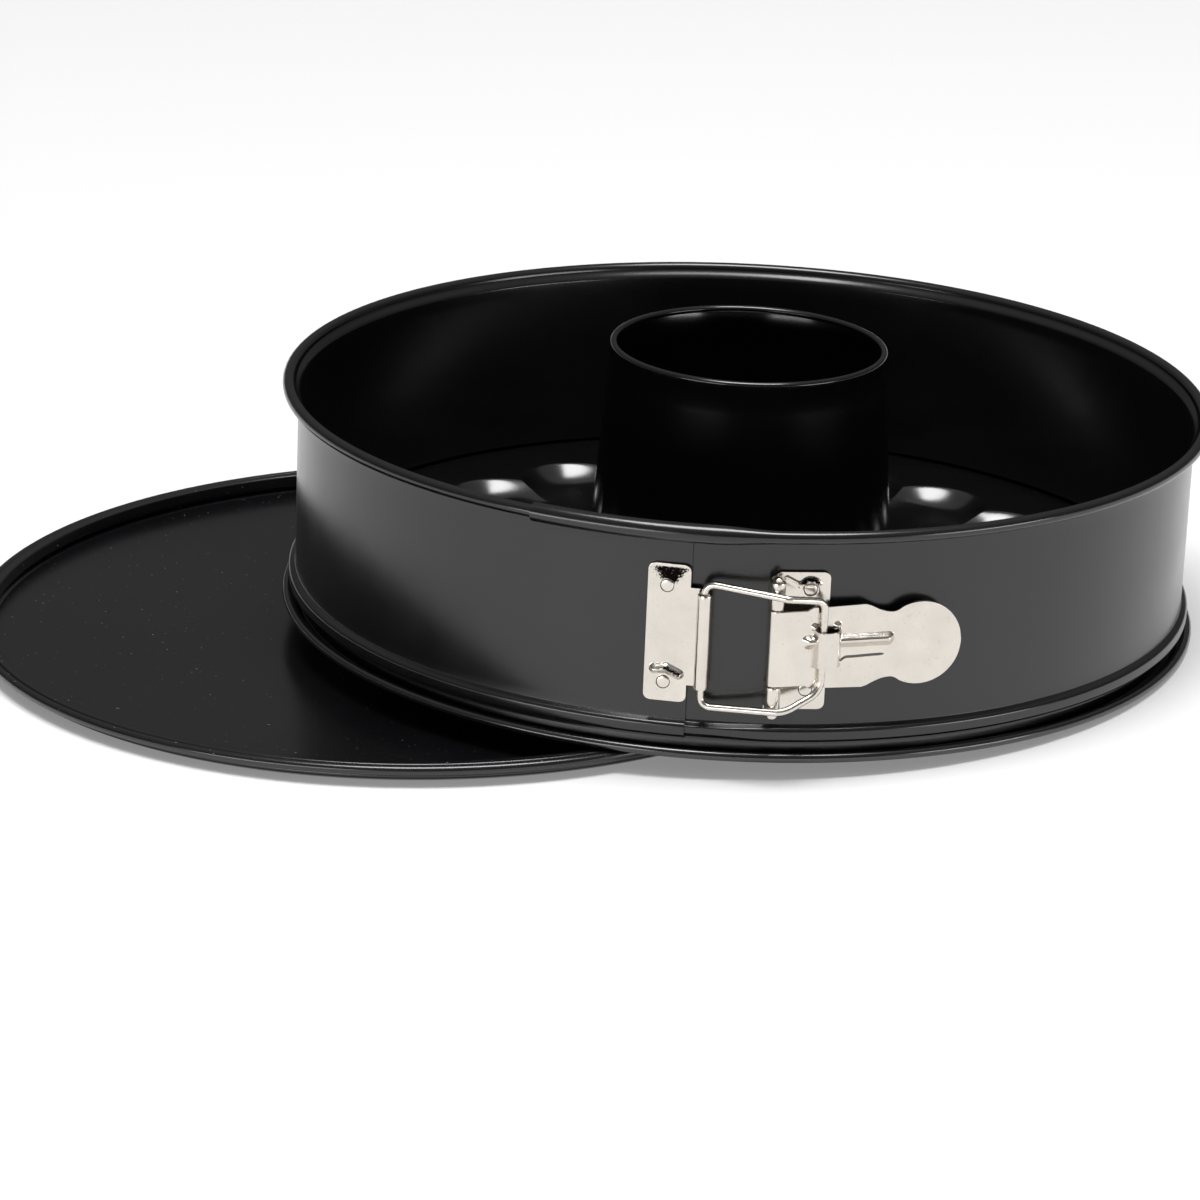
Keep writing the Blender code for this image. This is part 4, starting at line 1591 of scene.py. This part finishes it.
@dataclass
class Lever:
    """The lever, pressed from one strip that is rolled round the pin."""

    finish: NickelPlate
    frame: LeaningFrame
    hinge: Hinge
    lean: float = 10.0
    sheet: float = 0.9 * MM
    curl: float = 1.85 * MM
    curl_span: Point2 = (-20.0, -270.0)
    root_half: float = 11.4 * MM
    body_half: float = 12.4 * MM
    body_end_half: float = 12.8 * MM
    body_start: float = 10.4 * MM
    root_end: float = 8.6 * MM
    body_end: float = 27.4 * MM
    notch_half: float = 10.6 * MM
    notch_span: Point2 = (11.78 * MM, 14.78 * MM)
    notch_edge: float = 0.03 * MM
    shoulder_drop: float = 0.4 * MM
    shoulder_run: float = 1.5 * MM
    waist_half: float = 10.0 * MM
    waist_at: float = 34.6 * MM
    neck_rise: float = 1.2 * MM
    thumb_radius: float = 12.65 * MM
    thumb_at: float = 43.3 * MM
    tip_run: float = 4.0 * MM
    tip_steps: int = 14
    tip_gap: float = 0.015 * MM
    bridge_span: Point2 = (11.2 * MM, 18.6 * MM)
    bridge_climb: Point2 = (-0.9 * MM, 1.5 * MM)
    bridge_fall: Point2 = (-1.6 * MM, 0.6 * MM)
    bridge_half: float = 5.4 * MM
    bridge_rise: float = 3.5 * MM
    slit: float = 0.35 * MM
    rib_span: Point2 = (9.2 * MM, 33.4 * MM)
    rib_crest: float = 2.1 * MM
    rib_rise: float = 1.8 * MM
    rib_ledge: float = 0.45 * MM
    rib_under: float = 0.8
    rib_top: float = 0.22
    rib_back: float = 1.15
    panel_depth: float = 0.32 * MM
    panel_low: float = -3.3 * MM
    panel_dip: float = 2.9 * MM
    panel_dip_span: Point2 = (16.6 * MM, 21.2 * MM)
    panel_climb: float = 0.3 * MM
    panel_climb_span: Point2 = (21.0 * MM, 33.0 * MM)
    panel_edge: float = 0.4 * MM
    panel_fade: float = 2.5 * MM
    panel_start: Point2 = (15.5 * MM, 17.0 * MM)
    panel_end: Point2 = (31.0 * MM, 33.5 * MM)
    puckers: tuple[Point2, ...] = ((17.9 * MM, 6.6 * MM), (11.0 * MM, 6.4 * MM))
    pucker_rise: float = 0.95 * MM
    pucker_radius: float = 1.3 * MM
    pitch: float = 0.3 * MM
    middle_pitch: float = 0.22 * MM
    outer_steps: int = 20
    squeeze: float = 1.2 * MM

    def half_width(self, along: float) -> float:
        """Half of the lever's height.

        Args:
            along: the distance along it from the pin.

        Returns:
            The distance from its middle to its edge.
        """
        if along < self.body_start:
            part = max(0.0, along - self.root_end) / (self.body_start - self.root_end)
            return self.root_half + (self.body_half - self.root_half) * part
        if self.notch_span[0] < along < self.notch_span[1]:
            return self.notch_half
        shoulder = self.body_end_half - self.shoulder_drop
        if along < self.body_end:
            part = max(0.0, along - self.notch_span[1]) / (self.body_end - self.notch_span[1])
            half = self.body_half + (self.body_end_half - self.body_half) * part
            drop = smooth_step(along, self.body_end - self.shoulder_run, self.body_end)
            return half - self.shoulder_drop * drop
        rise = math.asin((self.waist_half + self.neck_rise) / self.thumb_radius)
        neck = self.thumb_at - self.thumb_radius * math.cos(rise)
        if along < self.waist_at:
            part = (along - self.body_end) / (self.waist_at - self.body_end)
            return shoulder - (shoulder - self.waist_half) * math.sin(QUARTER * part)
        if along < neck:
            part = (along - self.waist_at) / (neck - self.waist_at)
            return self.waist_half + self.neck_rise * part**2
        reach = min(abs(along - self.thumb_at), self.thumb_radius)
        return math.sqrt(self.thumb_radius**2 - reach**2)

    def stations(self) -> list[float]:
        """Where along the flat part the grid has a row.

        Returns:
            The distances from the pin, in order.
        """
        tip = self.thumb_at + self.thumb_radius
        run = tip - self.tip_run
        marks = {self.root_end, self.body_start, tip - self.tip_gap}
        for mark, away in zip(self.notch_span, (-self.notch_edge, self.notch_edge)):
            marks |= {mark, mark + away}
        count = round(run / self.pitch)
        marks |= {run * i / count for i in range(count + 1)}
        turns = [QUARTER * i / self.tip_steps for i in range(self.tip_steps + 1)]
        marks |= {tip - self.tip_run * math.cos(turn) for turn in turns}
        return sorted(mark for mark in marks if mark <= tip - self.tip_gap)

    def bridge(self, along: float, up: float) -> float:
        """How far the roof between the slits stands out.

        Args:
            along: the distance from the pin.
            up: the height above the lever's middle.

        Returns:
            The height of the roof there.
        """
        if abs(up) > self.bridge_half + TOUCHING:
            return 0.0
        start, end = self.bridge_span
        climb = smooth_step(along - start, *self.bridge_climb)
        return self.bridge_rise * climb * (1 - smooth_step(along - end, *self.bridge_fall))

    def rib(self, along: float, up: float) -> float:
        """How far the rib that runs under the bridge stands out.

        Args:
            along: the distance from the pin.
            up: the height above the lever's middle.

        Returns:
            The height of the rib there.
        """
        past = max(self.rib_span[0] - along, along - self.rib_span[1], 0.0)
        above = up - self.rib_crest
        drop = -above * self.rib_under if above < 0 else above * self.rib_top
        drop += max(0.0, above - self.rib_ledge) * self.rib_back
        return max(0.0, self.rib_rise - math.hypot(drop, past))

    def panel(self, along: float, up: float) -> float:
        """How far the panel between the rib and the crease below it is sunk.

        Args:
            along: the distance from the pin.
            up: the height above the lever's middle.

        Returns:
            The depth of the panel there.
        """
        low = self.panel_low - self.panel_dip * (1 - smooth_step(along, *self.panel_dip_span))
        low += self.panel_climb * smooth_step(along, *self.panel_climb_span)
        inside = smooth_step(up - low, -self.panel_edge, self.panel_edge)
        inside *= smooth_step(self.rib_crest - up, 0, self.panel_fade)
        inside *= smooth_step(along, *self.panel_start)
        return self.panel_depth * inside * (1 - smooth_step(along, *self.panel_end))

    def pucker(self, along: float, up: float) -> float:
        """How far the sheet is drawn up beside the upper slit's ends.

        Args:
            along: the distance from the pin.
            up: the height above the lever's middle.

        Returns:
            The height of the puckers there.
        """
        rise = 0.0
        for place, height in self.puckers:
            away = math.hypot(along - place, up - height)
            rise += self.pucker_rise * (1 - smooth_step(away, 0, self.pucker_radius))
        return rise if up > self.bridge_half + self.slit / 2 else 0.0

    def relief(self, along: float, up: float) -> float:
        """How far the sheet stands out from its flat at a place on the lever."""
        forms = (self.bridge, self.rib, self.pucker)
        return max(form(along, up) for form in forms) - self.panel(along, up)

    def levels(self, lines: Sequence[float], half: float) -> list[float]:
        """The heights of a row's points.

        Args:
            lines: the heights in the middle, which are squeezed if the row is shorter.
            half: half of the row's height.

        Returns:
            The heights, from the lower edge to the upper edge.
        """
        edge = lines[-1]
        if half < edge:
            lines = [line * half / (edge + self.squeeze) for line in lines]
            edge = lines[-1]
        count = self.outer_steps
        outer = [edge + (half - edge) * i / count for i in range(1, count + 1)]
        return [-up for up in reversed(outer)] + list(lines) + outer

    def build(self) -> bpy.types.Object:
        """Builds the lever and puts it on its body.

        Returns:
            The lever.
        """
        inner = self.bridge_half + self.slit
        count = round(2 * inner / self.middle_pitch)
        lines = [-inner + 2 * inner * i / count for i in range(count + 1)]
        lines = sorted([*lines, -self.bridge_half, self.bridge_half])
        rows = []
        first, last = (math.radians(angle) for angle in self.curl_span)
        for x, out in arc((0, 0), self.curl, first, last, 26)[:-1]:
            rows.append([(x, -out, up) for up in self.levels(lines, self.root_half)])
        flat = len(rows)
        stations = self.stations()
        for along in stations:
            levels = self.levels(lines, self.half_width(along))
            rows.append([(along, -(self.curl + self.relief(along, up)), up) for up in levels])
        start, end = self.bridge_span

        def in_slit(i: int, j: int) -> bool:
            """Whether a cell lies in one of the slits beside the bridge.

            Args:
                i: the number of the cell's row.
                j: the cell's number in its row.

            Returns:
                Whether it is left open.
            """
            if i < flat or i - flat + 1 >= len(stations):
                return False
            inside = start < stations[i - flat] and stations[i - flat + 1] < end
            middle = abs(rows[i][j][2] + rows[i][j + 1][2]) / 2
            return inside and self.bridge_half < middle < inner

        hinge = self.hinge
        place = (
            self.frame.facing(hinge.azimuth)
            @ Matrix.Translation((hinge.side, -hinge.out, hinge.height))
            @ Matrix.Rotation(math.radians(self.lean), 4, "Z")
        )
        obj = pressed_sheet(rows, self.sheet, "lever_dressed", place, in_slit)
        obj.data.transform(obj.matrix_world)
        obj.matrix_world = Matrix.Identity(4)
        dressed(obj, self.finish.material(), "lever")
        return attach(obj, Body.LEVER.value)


@dataclass
class Bail:
    """The bent wire that hooks the lever to the catch plate."""

    finish: NickelPlate
    frame: LeaningFrame
    hinge: Hinge
    wire: float = 1.08 * MM
    end: Point2 = (-28.08 * MM, 140.639 * MM)
    end_half: float = 14.5 * MM
    kink: Point2 = (-5.0 * MM, 150.15 * MM)
    leg: Point2 = (6.2 * MM, 146.54 * MM)
    arms: Point2 = (18.0 * MM, -20.0 * MM)
    kinks: Point2 = (16.4 * MM, -18.5 * MM)
    legs: Point2 = (14.75 * MM, -13.0 * MM)
    bend: float = 3.0 * MM
    kink_bends: Point2 = (3.0 * MM, 8.0 * MM)
    leg_bends: Point2 = (3.2 * MM, 6.0 * MM)

    def path(self) -> list[Vector]:
        """The wire's middle line about the height of the clasp's middle.

        Returns:
            The line's points, from its upper end to its lower end.
        """
        upper, lower = zip(self.kinks, self.kink_bends)
        corners = [
            (*self.end, self.end_half, 0),
            (*self.end, self.arms[0], self.bend),
            (*self.kink, *upper),
            *[(*self.leg, *leg) for leg in zip(self.legs, self.leg_bends)],
            (*self.kink, *lower),
            (*self.end, self.arms[1], self.bend),
            (*self.end, -self.end_half, 0),
        ]
        return filleted([(Vector((x, -out, up)), radius) for x, out, up, radius in corners], 12)

    def build(self) -> bpy.types.Object:
        """Builds the wire and puts it on its body.

        Returns:
            The bail.
        """
        curve = bpy.data.curves.new("bail_dressed", "CURVE")
        curve.dimensions = "3D"
        curve.bevel_depth = self.wire
        curve.bevel_resolution = 6
        curve.use_fill_caps = True
        points = self.path()
        spline = curve.splines.new("POLY")
        spline.points.add(len(points) - 1)
        for point, target in zip(spline.points, points):
            point.co = (target.x, target.y, target.z + self.hinge.height, 1)
        spline.use_smooth = True
        wire = shown(curve, "bail_wire", self.frame.facing(self.hinge.azimuth))
        obj = merged([baked_curve(wire)], "bail_dressed")
        dressed(obj, self.finish.material(), "bail")
        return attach(obj, Body.BAIL.value)


@dataclass(frozen=True)
class Softbox:
    """A lamp with a rectangular front, which the camera doesn't see."""

    name: str
    place: Point3
    size: Point2
    power: float

    def hang(self, target: Point3) -> None:
        """Hangs the lamp.

        Args:
            target: where it points.
        """
        data = bpy.data.lights.new(self.name, "AREA")
        data.shape = "RECTANGLE"
        data.size, data.size_y = self.size
        data.energy = self.power
        lamp = bpy.data.objects.new(self.name, data)
        lamp.location = self.place
        lamp.visible_camera = False
        aim = Vector(target) - Vector(self.place)
        lamp.rotation_euler = aim.to_track_quat("-Z", "Y").to_euler()
        bpy.context.scene.collection.objects.link(lamp)


@dataclass
class Studio:
    """White paper floor, soft light from above, and the camera."""

    paper: PaperFloor = field(default_factory=PaperFloor)
    floor_half: float = 5.0
    floor_drop: float = 0.2 * MM
    horizon: float = 0.09
    zenith: float = 0.3
    sky_span: Point2 = (0.25, 0.8)
    target: Point3 = (0.06, 0.0, 0.04)
    lamps: tuple[Softbox, ...] = (
        Softbox("key_softbox", (0.13, -0.36, 3.0), (1.8, 1.25), 91.0),
        Softbox("left_softbox", (-0.82, -1.06, 0.13), (0.9, 0.24), 4.2),
        Softbox("right_softbox", (1.2, -0.86, 0.13), (0.75, 0.24), 3.5),
    )
    sensor: float = 36.0
    lens: float = 150.87
    camera_place: Point3 = (-0.04835, -1.50495, 0.53884)
    camera_right: Point3 = (0.99776, -0.06684, 0.00397)
    camera_up: Point3 = (0.01853, 0.33259, 0.94289)

    def floor(self) -> None:
        """Lays the paper."""
        bm = bmesh.new()
        bmesh.ops.create_grid(bm, x_segments=8, y_segments=8, size=self.floor_half)
        place = Matrix.Translation((0, 0, -self.floor_drop))
        floor = shown(smoothed(bm, "floor"), "floor", place)
        floor.data.materials.append(self.paper.material())

    def sky(self) -> None:
        """Lights the set softly from above, with a dim band round the horizon."""
        world = bpy.data.worlds.new("soft_sky")
        world.use_nodes = True
        bpy.context.scene.world = world
        nodes = Nodes(world.node_tree)
        place = nodes.add("ShaderNodeTexCoord").outputs["Generated"]
        split = nodes.add("ShaderNodeSeparateXYZ")
        nodes.link(place, split.inputs["Vector"])
        level = nodes.spread(split.outputs["Z"], self.horizon, self.zenith, self.sky_span)
        background = world.node_tree.nodes["Background"]
        nodes.link(level, background.inputs["Strength"])
        background.inputs["Color"].default_value = (1, 1, 1, 1)

    def camera(self) -> None:
        """Stands the camera where the photograph was taken."""
        data = bpy.data.cameras.new("camera")
        data.sensor_width = self.sensor
        data.lens = self.lens
        data.clip_end = 50
        camera = bpy.data.objects.new("camera", data)
        right, up = Vector(self.camera_right), Vector(self.camera_up)
        turn = Matrix((right, up, right.cross(up))).transposed().to_4x4()
        camera.matrix_world = Matrix.Translation(self.camera_place) @ turn
        bpy.context.scene.collection.objects.link(camera)
        bpy.context.scene.camera = camera

    def build(self) -> None:
        """Sets up the floor, the light and the camera."""
        self.floor()
        self.sky()
        for lamp in self.lamps:
            lamp.hang(self.target)
        self.camera()
        bpy.context.scene.view_settings.view_transform = "Standard"


def main() -> None:
    """Builds every sub-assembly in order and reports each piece."""
    logging.basicConfig(level=logging.INFO, format="%(name)s: %(message)s")
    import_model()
    frame = LeaningFrame()
    hinge = Hinge()
    Studio().build()

    band = NonStickCoating("charcoal_coating", roughness=0.21)
    hollow = NonStickCoating("glossy_black_coating", (0.0025, 0.0025, 0.0027), 0.2, 1.75, grain=0.015)
    tube = NonStickCoating("black_coating", (0.003, 0.003, 0.0032), 0.17, grain=0.04)
    spare = NonStickCoating("satin_black_coating", (0.0045, 0.0042, 0.005), 0.22, dust=0.5)
    nickel = NickelPlate("nickel_plate")
    wire = NickelPlate("nickel_wire", roughness=0.24, waviness=0.02)
    steel = NickelPlate("nickel_rivet", (0.74, 0.69, 0.63), 0.2)

    pieces = [FlatBase(spare).build(), TubeBase(hollow, frame).build()]
    pieces += [ConicalTube(tube, frame).build(), *RingBand(band, frame).build()]
    catch = CatchPlate(nickel, frame)
    bracket = Bracket(nickel, frame, hinge)
    pieces += [catch.build(), bracket.build(), HingePin(steel, frame, hinge).build()]
    pieces += [Lever(nickel, frame, hinge).build(), Bail(wire, frame, hinge).build()]
    rivets = Rivets(steel, frame)
    for place, height in zip(("lower", "upper"), catch.rivet_heights):
        node = f"catch_rivet_{place}"
        side = catch.rivet_side
        pieces.append(rivets.build_one(node, Body.CATCH, catch.azimuth, side, height, False))
    for place, height in zip(("lower", "upper"), bracket.rivet_heights):
        node = f"bracket_rivet_{place}"
        side = bracket.rivet_side
        pieces.append(rivets.build_one(node, Body.RING, hinge.azimuth, side, height, True))
    for piece in pieces:
        LOG.info("%s has %d faces", piece.name, len(piece.data.polygons))


if __name__ == "__main__":
    main()
